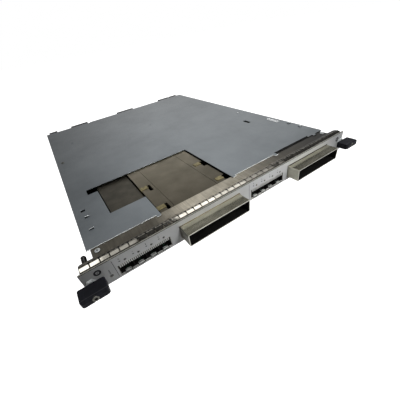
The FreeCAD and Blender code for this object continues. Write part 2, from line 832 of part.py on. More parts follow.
def bay_heat_plate(side, middle):
    piece = start(f"{side}_bay_heat_plate")
    front = FLANGE_BACK if side == "left" else S.right_top_front
    half = S.strip_in - S.plate_seam
    slab = front_sketch(piece, front)
    rectangle(slab, middle - half, middle + half, S.bay_top - S.plate_slab, S.bay_top)
    pad(piece, slab, S.bay_rear - front, True)
    block = draw(piece, "XY_Plane", S.block_low)
    block_front = S.block_front if side == "left" else S.right_top_front
    rectangle(block, middle - S.block_half, middle + S.block_half, block_front, S.block_rear)
    pad(piece, block, S.bay_top - S.block_low - S.plate_slab / 2)


def bay_clips(side, middle):
    span, skin, leg = SIZES["clip_span"], SIZES["clip_sheet"], SIZES["clip_leg"]
    wide, top = SIZES["clip_long"], SIZES["bay_top"]
    corners = [(-skin, -leg), (-skin, skin), (span + skin, skin), (span + skin, -leg),
               (span, -leg), (span, 0), (0, 0), (0, -leg)]
    wire = Part.makePolygon([Vector(x, -wide / 2, z) for x, z in corners + corners[:1]])
    clip = Part.Face(wire).extrude(Vector(0, wide, 0))
    starts = [middle.value + SIZES["clip_left"], middle.value + SIZES["clip_right"]]
    rows = [SIZES["clip_front_y"], SIZES["clip_back_y"]]
    if side == "right":
        rows = rows[1:]
    group(f"{side}_bay_clips", clip, [(x, y, top) for x in starts for y in rows])


def bay_socket(side, middle):
    piece = start(f"{side}_bay_socket")
    block = front_sketch(piece, S.bay_socket_front)
    half = S.bay_socket_half
    rectangle(block, middle - half, middle + half, BOARD_TOP, BOARD_TOP + S.bay_socket_tall)
    pad(piece, block, S.bay_rear - S.bay_socket_front, True)
    slot = front_sketch(piece, S.bay_socket_front)
    inner = half - S.bay_slot_rim
    low = BOARD_TOP + S.bay_slot_low
    rectangle(slot, middle - inner, middle + inner, low, low + S.bay_slot_tall)
    pocket(piece, slot, S.bay_slot_deep)


# Inner pieces under the cover


def shield_can():
    piece = start("shield_can")
    skin = S.can_skin
    can = draw(piece, "XY_Plane", BOARD_TOP)
    rectangle(can, S.can_left, S.can_right, S.can_front, S.can_back)
    pad(piece, can, S.can_top - BOARD_TOP)
    hollow = draw(piece, "XY_Plane", BOARD_TOP)
    rectangle(hollow, S.can_left + skin, S.can_right - skin, S.can_front + skin, S.can_back - skin)
    pocket(piece, hollow, S.can_top - skin - BOARD_TOP, True)


def processor(number, x, y):
    package = start(f"processor_{number}")
    flat = draw(package, "XY_Plane", BOARD_TOP)
    half = S.chip_half
    rectangle(flat, x - half, x + half, y - half, y + half)
    pad(package, flat, S.chip_tall)
    sink = start(f"processor_heat_sink_{number}")
    seat = BOARD_TOP + S.chip_tall
    half_x, half_y = S.sink_half_x, S.sink_half_y
    slab = draw(sink, "XY_Plane", seat)
    rectangle(slab, x - half_x, x + half_x, y - half_y, y + half_y)
    pad(sink, slab, S.sink_slab)
    fins = draw(sink, "XY_Plane", seat + S.sink_slab)
    rectangle(fins, x - half_x, x + half_x, y - half_y, y - half_y + S.fin_thick)
    first = pad(sink, fins, S.sink_top - seat - S.sink_slab)
    repeat(sink, first, "Y_Axis", (half_y * 2 - S.fin_thick) / (S.fin_count - 1), S.fin_count)


def power_module():
    piece = start("power_module")
    brick = draw(piece, "XY_Plane", BOARD_TOP)
    rectangle(brick, S.power_left, S.power_right, S.power_front, S.power_back)
    pad(piece, brick, S.power_tall)


def rear_connector(label, left, right):
    """A housing at the rear edge of the board, with a slot for each column of contacts in its rear face."""
    piece = start(label)
    shoulder = S.tray_rear + S.notch_gap
    inner = front_sketch(piece, S.rear_front)
    rectangle(inner, left, right, BOARD_TOP, S.rear_inner_top)
    pad(piece, inner, shoulder - S.rear_front, True)
    outer = front_sketch(piece, shoulder)
    rectangle(outer, left, right, S.rear_low, S.rear_top)
    pad(piece, outer, S.rear_reach - shoulder, True)
    columns = int((right - left - SIZES["contact_margin"]) // SIZES["contact_pitch"])
    first = (left + right) / 2 - S.contact_pitch * (columns - 1) / 2
    half = S.contact_slot / 2
    slots = front_sketch(piece, S.rear_reach)
    rectangle(slots, first - half, first + half, S.contact_low, S.contact_high)
    slot = pocket(piece, slots, S.contact_deep, True)
    repeat(piece, slot, "X_Axis", S.contact_pitch, Measure.of(columns))


# Turn handles, each drawn about its own axis


def start_on_axis(label, side):
    return start(label, x=S.knob_x * SIDES[side], z=AXIS_Z)


def knob(side):
    piece = start_on_axis(f"{side}_knob", side)
    half, thick, corner = S.knob_width / 2, S.knob_thick / 2, S.knob_corner
    plan = draw(piece, "XY_Plane", -thick)
    corners = []
    for hand, front in ((-1, False), (1, False), (1, True), (-1, True)):
        chords = CORNER_CHORDS if hand * (1 if front else -1) > 0 else CORNER_CHORDS[::-1]
        for x, y in chords:
            edge = corner * y - S.front_reach if front else -S.knob_back - corner * y
            corners.append(((half - corner * x) * hand, edge))
    outline(plan, corners)
    pad(piece, plan, S.knob_thick)
    # Both flat sides slope down to the front edge
    slopes = draw(piece, "YZ_Plane", half + S.over)
    crease, nose = S.knob_bevel_long - S.front_reach, -S.front_reach - S.over
    drop = S.knob_bevel_drop / S.knob_bevel_long * (S.knob_bevel_long + S.over)
    for up in (1, -1):
        outline(slopes, [(crease, thick * up), (nose, thick * up), (nose, (thick - drop) * up)])
    pocket(piece, slopes, (half + S.over) * 2)
    soften(piece, "Chamfer", S.knob_rim, lambda edge: not along(edge, Vector(0, 0, 1)))
    recess = front_sketch(piece, -S.front_reach)
    bore(recess, S.screw_head + S.sheet_gap)
    pocket(piece, recess, S.front_reach - S.knob_floor)
    hole = front_sketch(piece, -S.knob_floor)
    bore(hole, S.stud_radius + S.knob_slack)
    pocket(piece, hole, S.knob_floor - S.knob_back)


def jackscrew(side):
    """A plain stud through the knob and the bushing, with a thinner threaded end."""
    piece = start_on_axis(f"{side}_jackscrew", side)
    stud, thread, tip = S.stud_radius, S.thread_radius, S.thread_chamfer
    front, step, rear = -S.knob_floor, S.thread_front, S.thread_rear
    revolve(piece, [(front, 0), (front, stud), (step, stud), (step, thread), (rear - tip, thread),
                    (rear, thread - tip), (rear, 0)])


def knob_screw(side):
    piece = start_on_axis(f"{side}_knob_screw", side)
    front = S.knob_floor + S.screw_tall
    head = front_sketch(piece, -front)
    regular(head, HEAD_SIDES, S.screw_head)
    pad(piece, head, S.screw_tall, True)
    socket = front_sketch(piece, -front)
    hexagon(socket, S.screw_socket)
    pocket(piece, socket, S.screw_socket_deep)


def bushing(side):
    """A hexagon head in front of the faceplate, with a barrel through it and a nut behind."""
    piece = start_on_axis(f"{side}_bushing", side)
    head = front_sketch(piece, -S.bushing_head)
    hexagon(head, S.bushing_flats)
    pad(piece, head, S.bushing_head, True)
    barrel = front_sketch(piece, -S.lap)
    regular(barrel, BORE_SIDES, S.bushing_radius)
    pad(piece, barrel, S.bushing_rear + S.lap, True)
    hole = front_sketch(piece, -S.bushing_head)
    bore(hole, S.stud_radius + S.running_gap)
    pocket(piece, hole, S.bushing_head + S.bushing_rear)
    nut = start_on_axis(f"{side}_bushing_nut", side)
    flats = front_sketch(nut, S.plate_thick)
    hexagon(flats, S.nut_flats)
    bore(flats, S.bushing_radius + S.knob_slack)
    pad(nut, flats, S.nut_thick, True)


def retaining_nut(side):
    """A thin hexagon pinned on the stud behind the bushing, which keeps the jackscrew in the faceplate."""
    piece = start_on_axis(f"{side}_retaining_nut", side)
    flats = front_sketch(piece, S.collar_front)
    hexagon(flats, S.collar_flats)
    bore(flats, S.stud_radius + S.knob_slack)
    pad(piece, flats, S.thread_front - S.collar_front, True)


carrier_tray()
top_cover()
faceplate()
gasket_rail()
finger_gasket()
main_board()
fasteners()
for side, middle in BANKS.items():
    small_port_cage(side, middle)
    small_port_gasket(side, middle)
    light_pipe_bar(side, middle)
    for index, cell in enumerate(CELLS, 1):
        number = index + (0 if side == "left" else len(CELLS))
        small_port_socket(number, middle + S.cell_pitch * cell)
status_light_pipe()
for side, middle in BAYS.items():
    bay_shroud(side, middle)
    bay_rail(side, "outer" if side == "left" else "inner", middle, -1)
    bay_rail(side, "inner" if side == "left" else "outer", middle, 1)
    bay_heat_plate(side, middle)
    bay_clips(side, middle)
    bay_socket(side, middle)
shield_can()
for number, (x, y) in PROCESSORS.items():
    processor(number, x, y)
power_module()
for label, (left, right) in REAR_CONNECTORS.items():
    rear_connector(label, left, right)
for side in SIDES:
    knob(side)
    jackscrew(side)
    knob_screw(side)
    bushing(side)
    retaining_nut(side)

doc.recompute()
for item in doc.Objects:
    if {"Invalid", "Error"} & set(item.State):
        raise ValueError(f"{item.Label}: {item.State}")
for piece in pieces:
    if piece.Shape.isNull() or not piece.Shape.isValid():
        raise ValueError(f"{piece.Label}: no valid shape")

os.makedirs("parts", exist_ok=True)
for piece in pieces:
    piece.Shape.exportStep(f"parts/{piece.Label}.step")
print(len(pieces), "pieces")
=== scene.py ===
import math
import random

import bmesh
import bpy
from mathutils import Matrix, Vector


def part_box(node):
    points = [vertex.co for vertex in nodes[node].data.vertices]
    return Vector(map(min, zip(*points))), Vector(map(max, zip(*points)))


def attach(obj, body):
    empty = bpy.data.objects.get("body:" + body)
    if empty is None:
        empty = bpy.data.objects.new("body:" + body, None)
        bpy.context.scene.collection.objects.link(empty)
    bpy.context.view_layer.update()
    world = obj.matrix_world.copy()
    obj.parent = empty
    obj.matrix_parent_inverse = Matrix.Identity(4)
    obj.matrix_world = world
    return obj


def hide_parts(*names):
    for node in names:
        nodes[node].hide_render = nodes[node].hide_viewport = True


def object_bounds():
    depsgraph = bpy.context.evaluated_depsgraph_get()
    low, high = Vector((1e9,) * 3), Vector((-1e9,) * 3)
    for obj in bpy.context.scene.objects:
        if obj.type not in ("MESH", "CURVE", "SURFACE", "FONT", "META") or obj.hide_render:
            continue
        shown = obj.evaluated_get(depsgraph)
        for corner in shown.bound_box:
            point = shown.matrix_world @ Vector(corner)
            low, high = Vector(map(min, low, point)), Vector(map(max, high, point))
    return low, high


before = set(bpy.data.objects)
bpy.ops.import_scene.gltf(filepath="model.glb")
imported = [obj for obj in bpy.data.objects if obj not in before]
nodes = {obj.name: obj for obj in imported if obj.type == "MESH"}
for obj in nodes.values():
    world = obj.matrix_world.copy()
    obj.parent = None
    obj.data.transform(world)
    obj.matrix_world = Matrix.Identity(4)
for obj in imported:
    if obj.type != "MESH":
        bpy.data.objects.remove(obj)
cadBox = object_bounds()
scene = bpy.context.scene
scene.view_settings.view_transform = "Standard"
mm = 0.001
near = 0.01  # places nearer than this are the same, in mm
weld = 0.002  # corners nearer than this are merged, in mm
over = 1.0  # how far a cutter reaches past what it cuts, in mm
sharp = 40  # least bend of an edge that gets rounded, in degrees
facing = 0.9  # least share of a normal along an axis, for a face that looks that way
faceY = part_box("faceplate")[0].y / mm  # front of the faceplate: depths below are measured from it, in mm


def at(x, y, z):
    return Vector((x * mm, (y + faceY) * mm, z * mm))


print("frame loaded, faceplate at", round(faceY, 2), "mm")

# camera, as the photograph sees the module
eye = {"place": (-169.43, -184.72, 205.15), "towards": (0.3722, 0.7019, -0.6072),
       "up": (0.4347, 0.4462, 0.7823), "lens": 20.54, "sensor": 36, "nearest": 0.01}
forward = Vector(eye["towards"]).normalized()
side = forward.cross(Vector(eye["up"])).normalized()
upright = side.cross(forward)
lensData = bpy.data.cameras.new("eye")
lensData.lens = eye["lens"]
lensData.sensor_width = eye["sensor"]
lensData.clip_start = eye["nearest"]
camera = bpy.data.objects.new("eye", lensData)
turn = Matrix((side, upright, -forward)).transposed().to_4x4()
camera.matrix_world = Matrix.Translation(at(*eye["place"])) @ turn
scene.collection.objects.link(camera)
scene.camera = camera

# materials
rangeKeys = ("From Min", "From Max", "To Min", "To Max")
noiseLook = {"tones": (0.32, 0.5, 0.68), "stain": (0.35, 0.65), "shine": (0.3, 0.7)}  # levels that count


def linear(colour):
    parts = [int(colour[i:i + 2], 16) / 255 for i in (1, 3, 5)]
    return [p / 12.92 if p <= 0.04045 else ((p + 0.055) / 1.055) ** 2.4 for p in parts] + [1.0]


def addNode(tree, kind, settings=None, links=None):
    node = tree.nodes.new("ShaderNode" + kind)
    for key, value in (settings or {}).items():
        if key == "stops":
            ramp = node.color_ramp.elements
            while len(ramp) < len(value):
                ramp.new(1.0)
            for stop, (spot, colour) in zip(ramp, value):
                stop.position = spot
                stop.color = linear(colour)
        elif isinstance(key, int) or key in node.inputs:
            node.inputs[key].default_value = value
        else:
            setattr(node, key, value)
    for key, socket in (links or {}).items():
        tree.links.new(socket, node.inputs[key])
    return node


def startMaterial(name):
    material = bpy.data.materials.new(name)
    material.use_nodes = True
    material.node_tree.nodes.clear()
    return material, material.node_tree


def makeFinish(name, tones, cloud, grain, rough, relief, stain=0.15, paintedLight=(), gloss=0.5, **sockets):
    # tones: dark, middle and light of the clouds; cloud: their size in mm
    # grain: size of the fine marks in mm, all ways or along x, y, z; relief: their height in mm
    # rough: smoothest and roughest; stain: how much the marks darken the colour; gloss: specular level
    # paintedLight: an axis and places along it in mm, each with a tint: painted shade and painted
    # highlight, for a sheet not equally lit all over
    material, tree = startMaterial(name)
    place = addNode(tree, "TexCoord").outputs["Object"]
    clouds = addNode(tree, "TexNoise", {"Scale": 1 / (cloud * mm), "Detail": 4.0, "Roughness": 0.55},
                     {"Vector": place})
    tone = addNode(tree, "ValToRGB", {"stops": list(zip(noiseLook["tones"], tones.split()))},
                   {"Fac": clouds.outputs[0]})
    sizes = grain if isinstance(grain, tuple) else (grain,) * 3
    stretch = addNode(tree, "Mapping", {"Scale": [1 / (size * mm) for size in sizes]}, {"Vector": place})
    marks = addNode(tree, "TexNoise", {"Scale": 1.0, "Detail": 3.0, "Roughness": 0.6},
                    {"Vector": stretch.outputs[0]})
    worn = addNode(tree, "MapRange", dict(zip(rangeKeys, (*noiseLook["stain"], 1 - stain, 1.0))),
                   {"Value": marks.outputs[0]})
    shaded = addNode(tree, "VectorMath", {"operation": "SCALE"},
                     {0: tone.outputs[0], "Scale": worn.outputs[0]})
    if paintedLight:
        axis, places = paintedLight
        first, last = places[0][0], places[-1][0]
        along = addNode(tree, "SeparateXYZ", links={0: place}).outputs[axis]
        share = addNode(tree, "MapRange", {"From Min": first * mm, "From Max": last * mm}, {"Value": along})
        stops = [((value - first) / (last - first), tint) for value, tint in places]
        tint = addNode(tree, "ValToRGB", {"stops": stops}, {"Fac": share.outputs[0]})
        shaded = addNode(tree, "VectorMath", {"operation": "MULTIPLY"},
                         {0: shaded.outputs[0], 1: tint.outputs[0]})
    shine = addNode(tree, "MapRange", dict(zip(rangeKeys, (*noiseLook["shine"], *rough))),
                    {"Value": marks.outputs[0]})
    bump = addNode(tree, "Bump", {"Distance": relief * mm}, {"Height": marks.outputs[0]})
    shader = addNode(tree, "BsdfPrincipled", {"Specular IOR Level": gloss, **sockets},
                     {"Base Color": shaded.outputs[0], "Roughness": shine.outputs[0],
                      "Normal": bump.outputs[0]})
    addNode(tree, "OutputMaterial", links={"Surface": shader.outputs[0]})
    return material


finishes = {
    # rolled zinc-plated steel: satin blue-grey, faintly streaked along the rolling direction and clouded
    # by handling; painted shade makes it a little darker towards the rear
    "zincSteel": makeFinish("satinZincSteel", "#868c90 #8f9599 #969ca0",
        cloud=60, grain=(0.7, 14, 0.7), rough=(0.31, 0.43), relief=0.01, stain=0.06, Metallic=1.0,
        paintedLight=("Y", ((faceY + 30, "#ffffff"), (faceY + 150, "#ececec"), (faceY + 500, "#d2d2d2")))),
    # powder coat: pale grey with a faint orange peel, drawn coarser than the real 0.5 mm so that it
    # shows; painted shade darkens it left of the first dividing line
    "greyPaint": makeFinish("greyPowderCoat", "#a8a9a9 #b0b1b1 #b7b8b7",
        cloud=45, grain=1.6, rough=(0.42, 0.55), relief=0.02, stain=0.05,
        paintedLight=("X", ((-217, "#d4d4d4"), (-185, "#ececec"), (-183, "#ffffff"), (217, "#ffffff")))),
    # nickel-plated rail: warm grey with cross streaks; a painted highlight left of the middle and painted
    # shade towards both ends
    "railSteel": makeFinish("platedRailSteel", "#c2baa8 #d0c8b6 #dcd4c2",
        cloud=14, grain=(2.0, 30, 4), rough=(0.28, 0.42), relief=0.004, stain=0.25, Metallic=1.0,
        paintedLight=("X", ((-215, "#8c8c8c"), (-125, "#888888"), (-82, "#ffffff"), (-20, "#e8e8e8"),
                    (90, "#787878"), (170, "#404040")))),
    # tinned spring strip: bright, with small dull patches on the worn fingers
    "springStrip": makeFinish("tinnedSpringStrip", "#a6a298 #b4b0a6 #c2beb4",
        cloud=14, grain=(2.6, 8, 2.6), rough=(0.07, 0.13), relief=0.0006, stain=0.06, Metallic=1.0),
    # solder mask of the board: dark green lacquer, glossy, mottled by the copper under it
    "solderMask": makeFinish("solderMask", "#0c1c13 #102419 #152c1f",
        cloud=8, grain=1.2, rough=(0.25, 0.4), relief=0.03, stain=0.3),
    # zinc-plated nuts and standoffs, turned: bright and fairly smooth
    "brightZinc": makeFinish("brightZinc", "#a5a6a6 #b6b7b7 #c6c7c7",
        cloud=3, grain=0.6, rough=(0.2, 0.36), relief=0.005, Metallic=1.0),
    # black oxide: nearly black steel with an oily sheen, on the jackscrews; also painted shade on the sides
    # of some screw heads
    "blackOxide": makeFinish("blackOxideSteelAndShade", "#2b2b29 #363634 #434340",
        cloud=4, grain=0.6, rough=(0.3, 0.45), relief=0.01, stain=0.2, Metallic=0.5),
    # satin nickel over die-cast zinc: olive grey, softly clouded
    "satinNickel": makeFinish("satinNickel", "#aba896 #b4b1a0 #bebba9",
        cloud=26, grain=(14, 5, 5), rough=(0.17, 0.23), relief=0.0006, stain=0.04, Metallic=1.0),
    # bronze chromate: brownish film with smudges, with painted shade darker towards the front
    "bronzePlate": makeFinish("bronzeChromatePlate", "#706a59 #7d7665 #898170",
        cloud=34, grain=1.2, rough=(0.36, 0.5), relief=0.006, stain=0.1, Metallic=0.9,
        paintedLight=("Y", ((faceY + 30, "#bcbcbc"), (faceY + 155, "#ffffff")))),
    # tinned steel of the shield, gone dull: dark warm grey
    "shieldTin": makeFinish("dullTinShield", "#46433a #524e44 #5d594e",
        cloud=22, grain=1.0, rough=(0.42, 0.58), relief=0.006, Metallic=0.8),
    # spring brass, tarnished: olive yellow
    "brassClip": makeFinish("brassClip", "#6f6645 #857b56 #9b9068",
        cloud=4, grain=0.8, rough=(0.3, 0.44), relief=0.005, Metallic=0.7),
    # glass-filled resin of the connectors: black, dull, slightly mottled
    "blackResin": makeFinish("mouldedBlackResin", "#141415 #18181a #1d1d1f",
        cloud=5, grain=0.5, rough=(0.45, 0.6), relief=0.01, stain=0.2, gloss=0.15),
    # moulded nylon: blue-black with a spark-eroded grain, drawn coarser so that it shows
    "nylonGrip": makeFinish("mouldedNylonGrip", "#15161c #1a1b22 #1f2028",
        cloud=7, grain=0.9, rough=(0.44, 0.58), relief=0.03, gloss=0.12),
    # painted highlight along the crease of the grip: a lighter band
    "nylonCreaseHighlight": makeFinish("nylonCreaseHighlightFinish", "#202125 #27282c #2f3034",
        cloud=5, grain=0.9, rough=(0.36, 0.48), relief=0.01, gloss=0.25),
    # clear acrylic of the light pipes, seen end on: grey and glossy
    "lightPipe": makeFinish("clearLightPipe", "#3c3e40 #484a4c #545658",
        cloud=2, grain=0.8, rough=(0.1, 0.18), relief=0.005, stain=0.1, IOR=1.49),
    # moulded epoxy of the chips: black and matt, with a fine grit
    "epoxyChip": makeFinish("epoxyChip", "#1b1b1c #202021 #262627",
        cloud=6, grain=0.4, rough=(0.5, 0.65), relief=0.01, stain=0.2),
    # extruded aluminium: pale, with streaks along the fins
    "sinkAluminium": makeFinish("extrudedAluminium", "#8f9193 #9c9ea0 #a8aaac",
        cloud=20, grain=(12, 0.6, 0.6), rough=(0.32, 0.46), relief=0.01, stain=0.12, Metallic=1.0),
    # painted shade: black on the inside of the bays, on the small cages and in the cover's gaps, so that
    # they read as deep
    "blackLining": makeFinish("blackLining", "#0a0a09 #0e0d0c #131210",
        cloud=5, grain=0.8, rough=(0.6, 0.8), relief=0.005, stain=0.2, gloss=0.1),
    # painted highlight on the front ends of the shroud walls: brighter than the plated faces
    "rimHighlight": makeFinish("nickelRimHighlight", "#b9b8ae #cbcac1 #dad9d1",
        cloud=6, grain=(0.5, 0.5, 3), rough=(0.3, 0.42), relief=0.004, stain=0.12, Metallic=1.0),
    # painted highlight on the edges of the cover, on the bushings and some screws: brighter than the rolled
    # face
    "paintedHighlight": makeFinish("paintedHighlightZinc", "#d6dadb #e2e6e6 #ecefef",
        cloud=8, grain=0.5, rough=(0.38, 0.5), relief=0.003, stain=0.1, Metallic=0.3),
    # painted shade along the top front edge of the faceplate: dark brown
    "edgeShade": makeFinish("darkEdgeShade", "#1d1b17 #25231e #302d27",
        cloud=12, grain=(4, 0.8, 0.8), rough=(0.5, 0.65), relief=0.004, stain=0.2, gloss=0.15),
    # painted highlight on the top face of the faceplate, which is left unpainted: pale
    "plateTopHighlight": makeFinish("plateTopHighlightMetal", "#8b897f #9c9a90 #acaaa0",
        cloud=10, grain=(3, 0.8, 0.8), rough=(0.4, 0.52), relief=0.002, Metallic=0.5),
    # screws in the handles and on the cover: zinc gone dull
    "dullZinc": makeFinish("dullZinc", "#686862 #767670 #84847e",
        cloud=3, grain=0.6, rough=(0.4, 0.55), relief=0.004, Metallic=1.0),
    # left sides of the shrouds, duller than the polished tops; painted light: pale tones stand in for the
    # light they lack, and painted shade darkens the left one
    "sidePaintedLight": makeFinish("dullNickelSidePaintedLight", "#b0aea0 #bbb9ab #c6c4b6",
        cloud=14, grain=(0.8, 4, 4), rough=(0.5, 0.62), relief=0.002, stain=0.08, Metallic=0.5,
        paintedLight=("X", ((-105, "#a8a8a8"), (80, "#ffffff")))),
    # black and dull: closed-cell foam of the comb seals, and painted shade under the spring fingers and in
    # the groove in front of them
    "blackFoamAndShade": makeFinish("blackFoamAndShadeFinish", "#0b0b0b #101010 #161616",
        cloud=3, grain=0.5, rough=(0.8, 0.95), relief=0.03, stain=0.3),
    # tinned steel of the tongues and comb teeth: pale, a little duller than the fingers on top
    "paleTin": makeFinish("paleTinnedSteel", "#a7a8a4 #b7b8b4 #c5c6c2",
        cloud=4, grain=(0.6, 0.6, 2), rough=(0.34, 0.48), relief=0.004, stain=0.12, Metallic=0.35),
    # screen-printed marks: dark blue-grey ink, uneven in its density
    "printInk": makeFinish("printedInk", "#0f1013 #15161a #1e2026",
        cloud=2, grain=0.4, rough=(0.5, 0.65), relief=0.002, stain=0.25, gloss=0.2),
    # paper label: white, faintly fibrous
    "paperLabel": makeFinish("paperLabel", "#dfe1e2 #e8eaeb #f0f2f3",
        cloud=6, grain=(0.6, 2.5, 0.6), rough=(0.55, 0.7), relief=0.004, stain=0.05),
    # gold-flashed contacts: warm yellow, bright
    "goldContact": makeFinish("goldContact", "#a98a45 #bf9f57 #d0b36c",
        cloud=3, grain=(0.4, 0.4, 3), rough=(0.22, 0.34), relief=0.002, stain=0.1, Metallic=1.0),
}

# finish of each solid, by the longest of these that its name holds
dressing = {
    "zincSteel": ["carrier_tray", "top_cover"],
    "greyPaint": ["faceplate"],
    "railSteel": ["gasket_rail"],
    "springStrip": ["finger_gasket", "small_port_gasket"],
    "solderMask": ["main_board"],
    "brightZinc": ["standoffs", "cover_screws", "rail_screws", "bushing", "retaining_nut", "knob_screw"],
    "blackOxide": ["jackscrew"],
    # the small cages wear painted shade, black all over
    "blackLining": ["small_port_cage"],
    "satinNickel": ["bay_shroud"],
    "bronzePlate": ["inner_rail", "outer_rail", "heat_plate"],
    "shieldTin": ["shield_can"],
    "brassClip": ["bay_clips"],
    "blackResin": ["socket", "rear_power", "rear_signal"],
    "nylonGrip": ["knob"],
    "lightPipe": ["light_pipe"],
    "epoxyChip": ["processor_1", "processor_2", "power_module"],
    "sinkAluminium": ["heat_sink"],
}


def dress(piece, finish):
    if not piece.material_slots:
        piece.data.materials.append(None)
    for holder in piece.material_slots:
        holder.material = finishes[finish]


for name, node in nodes.items():
    fitting = [(len(stem), finish) for finish, stems in dressing.items() for stem in stems if stem in name]
    if not fitting:
        raise ValueError(f"{name} has no finish")
    dress(node, max(fitting)[1])
print("finishes on", len(nodes), "solids")


# modelling by hand: a primitive is placed, opened, shaped by operators and closed
def deselect():
    if bpy.context.mode != "OBJECT":
        bpy.ops.object.mode_set(mode="OBJECT")
    bpy.ops.object.select_all(action="DESELECT")


def choose(*pieces):
    deselect()
    for piece in pieces:
        piece.select_set(True)
    bpy.context.view_layer.objects.active = pieces[0]


def settle(name):
    piece = bpy.context.object
    piece.name = piece.data.name = name
    bpy.ops.object.transform_apply(location=True, rotation=True, scale=True)
    return piece


def startBox(name, low, high):
    deselect()
    size = at(*high) - at(*low)
    bpy.ops.mesh.primitive_cube_add(size=1, location=(at(*low) + at(*high)) / 2, scale=size)
    return settle(name)


def startRod(name, radius, sides, foot, tip):
    deselect()
    run = at(*tip) - at(*foot)
    bpy.ops.mesh.primitive_cylinder_add(vertices=sides, radius=radius * mm, depth=run.length,
                                        location=(at(*foot) + at(*tip)) / 2,
                                        rotation=run.to_track_quat("Z", "Y").to_euler())
    return settle(name)


def openMesh(piece):
    choose(piece)
    bpy.ops.object.mode_set(mode="EDIT")
    bpy.ops.mesh.select_mode(type="VERT")
    bpy.ops.mesh.select_all(action="SELECT")


def spot(element):
    # middle of a face, edge or vertex, in mm from the faceplate's front
    corners = getattr(element, "verts", [element])
    middle = sum((corner.co for corner in corners), Vector()) / len(corners) / mm
    return Vector((middle.x, middle.y - faceY, middle.z))


def pick(kind, wanted):
    bpy.ops.mesh.select_mode(type=kind)
    bpy.ops.mesh.select_all(action="DESELECT")
    mesh = bmesh.from_edit_mesh(bpy.context.object.data)
    for element in {"FACE": mesh.faces, "EDGE": mesh.edges, "VERT": mesh.verts}[kind]:
        if wanted(element):
            element.select_set(True)
    mesh.select_flush_mode()
    bmesh.update_edit_mesh(bpy.context.object.data)


def pickSharp(wanted=lambda edge: True, degrees=sharp):
    limit = math.radians(degrees)
    pick("EDGE", lambda edge: edge.calc_face_angle(0) > limit and wanted(edge))


def roundEdges(width, segments=2):
    bpy.ops.mesh.bevel(offset=width * mm, offset_type="OFFSET", segments=segments, profile=0.5)


def moveBy(x, y, z):
    bpy.ops.transform.translate(value=(x * mm, y * mm, z * mm))


def scaleBy(x, y, z, middle):
    bpy.ops.transform.resize(value=(x, y, z), center_override=middle)


def extrudeBy(x, y, z):
    bpy.ops.mesh.extrude_region_move(TRANSFORM_OT_translate={"value": (x * mm, y * mm, z * mm)})


def carve(piece, *cutters):
    for cutter in cutters:
        choose(piece)
        cut = piece.modifiers.new("carve", "BOOLEAN")
        cut.object = cutter
        cut.operation = "DIFFERENCE"
        cut.solver = "EXACT"
        bpy.ops.object.modifier_apply(modifier=cut.name)
        bpy.data.objects.remove(cutter)


def thicken(piece, thick, offset):
    choose(piece)
    wall = piece.modifiers.new("wall", "SOLIDIFY")
    wall.thickness = thick * mm
    wall.offset = offset
    bpy.ops.object.modifier_apply(modifier=wall.name)


def copyPiece(piece, name, x=0.0, y=0.0, z=0.0):
    choose(piece)
    bpy.ops.object.duplicate(linked=False)
    moveBy(x, y, z)
    return settle(name)


def handed(piece, stem, reach):
    # a left-hand piece and its copy on the right, each with the name of its side
    return (piece, "left"), (copyPiece(piece, "right" + stem, x=reach), "right")


def joinPieces(pieces, name):
    choose(*pieces)
    bpy.ops.object.join()
    return settle(name)


def finishPiece(piece, finish, body="chassis", stands=(), smooth=32):
    choose(piece)
    bpy.ops.object.shade_smooth_by_angle(angle=math.radians(smooth))
    level = piece.modifiers.new("level", "WEIGHTED_NORMAL")
    level.keep_sharp = True
    bpy.ops.object.modifier_apply(modifier=level.name)
    dress(piece, finish)
    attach(piece, body)
    if stands:
        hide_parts(*stands)
    return piece


def softened(node, name, width, segments=2, flatness=0.5):
    # a copy of a solid, its triangles merged and its sharp edges rounded as on real sheet and castings
    piece = bpy.data.objects.new(name, nodes[node].data.copy())
    scene.collection.objects.link(piece)
    choose(piece)
    bpy.ops.mesh.customdata_custom_splitnormals_clear()
    openMesh(piece)
    bpy.ops.mesh.remove_doubles(threshold=weld * mm)
    bpy.ops.mesh.dissolve_limited(angle_limit=math.radians(flatness))
    choose(piece)
    edge = piece.modifiers.new("edge", "BEVEL")
    edge.limit_method = "ANGLE"
    edge.angle_limit = math.radians(sharp)
    edge.width = width * mm
    edge.segments = segments
    edge.use_clamp_overlap = False
    bpy.ops.object.modifier_apply(modifier=edge.name)
    return piece


def zoneFinish(piece, finish, wanted):
    # a second finish on the faces that wanted is true for
    piece.data.materials.append(finishes[finish])
    number = len(piece.data.materials) - 1
    for face in piece.data.polygons:
        middle = face.center / mm
        if wanted(Vector((middle.x, middle.y - faceY, middle.z)), face.normal):
            face.material_index = number


# black strips: foam seals, die-cut, and sheets of painted shade, their edges slightly rounded
blackStripLook = {"edge": 0.1}


def blackStrip(name, low, high, finish="blackFoamAndShade"):
    piece = startBox(name, low, high)
    openMesh(piece)
    pickSharp()
    roundEdges(blackStripLook["edge"])
    finishPiece(piece, finish)


# sheet and plates: finish, slot and rounding of the edges in mm
sheetEdges = {"top_cover": ("zincSteel", "zinc_steel", 0.48),
              "carrier_tray": ("zincSteel", "zinc_steel", 0.3),
              "gasket_rail": ("railSteel", "rail_steel", 0.3),
              "faceplate": ("greyPaint", "grey_paint", 0.45)}
# where bare metal and painted light start, in mm. Cover: painted highlight on its tabs, its front edge and
# the roofs of its lances, painted shade on the front of the stretch set back there. Faceplate: bare metal
# off the front, painted shade below the top, and a painted highlight on the rim
bareAndPaintedLightEdges = {"tabs": 28.7, "front": 40, "recess": (89.5, 167.5), "recessFront": 31.5, "roof": 32.4,
             "slope": 0.3, "paint": 31.05, "rim": 31, "rimSlope": 0.2, "painted": 0.95, "paintDeep": 0.05}
recessLeft, recessRight = bareAndPaintedLightEdges["recess"]


def isFrontEdge(middle, normal):
    return normal.y < -bareAndPaintedLightEdges["slope"] and middle.y < bareAndPaintedLightEdges["front"]


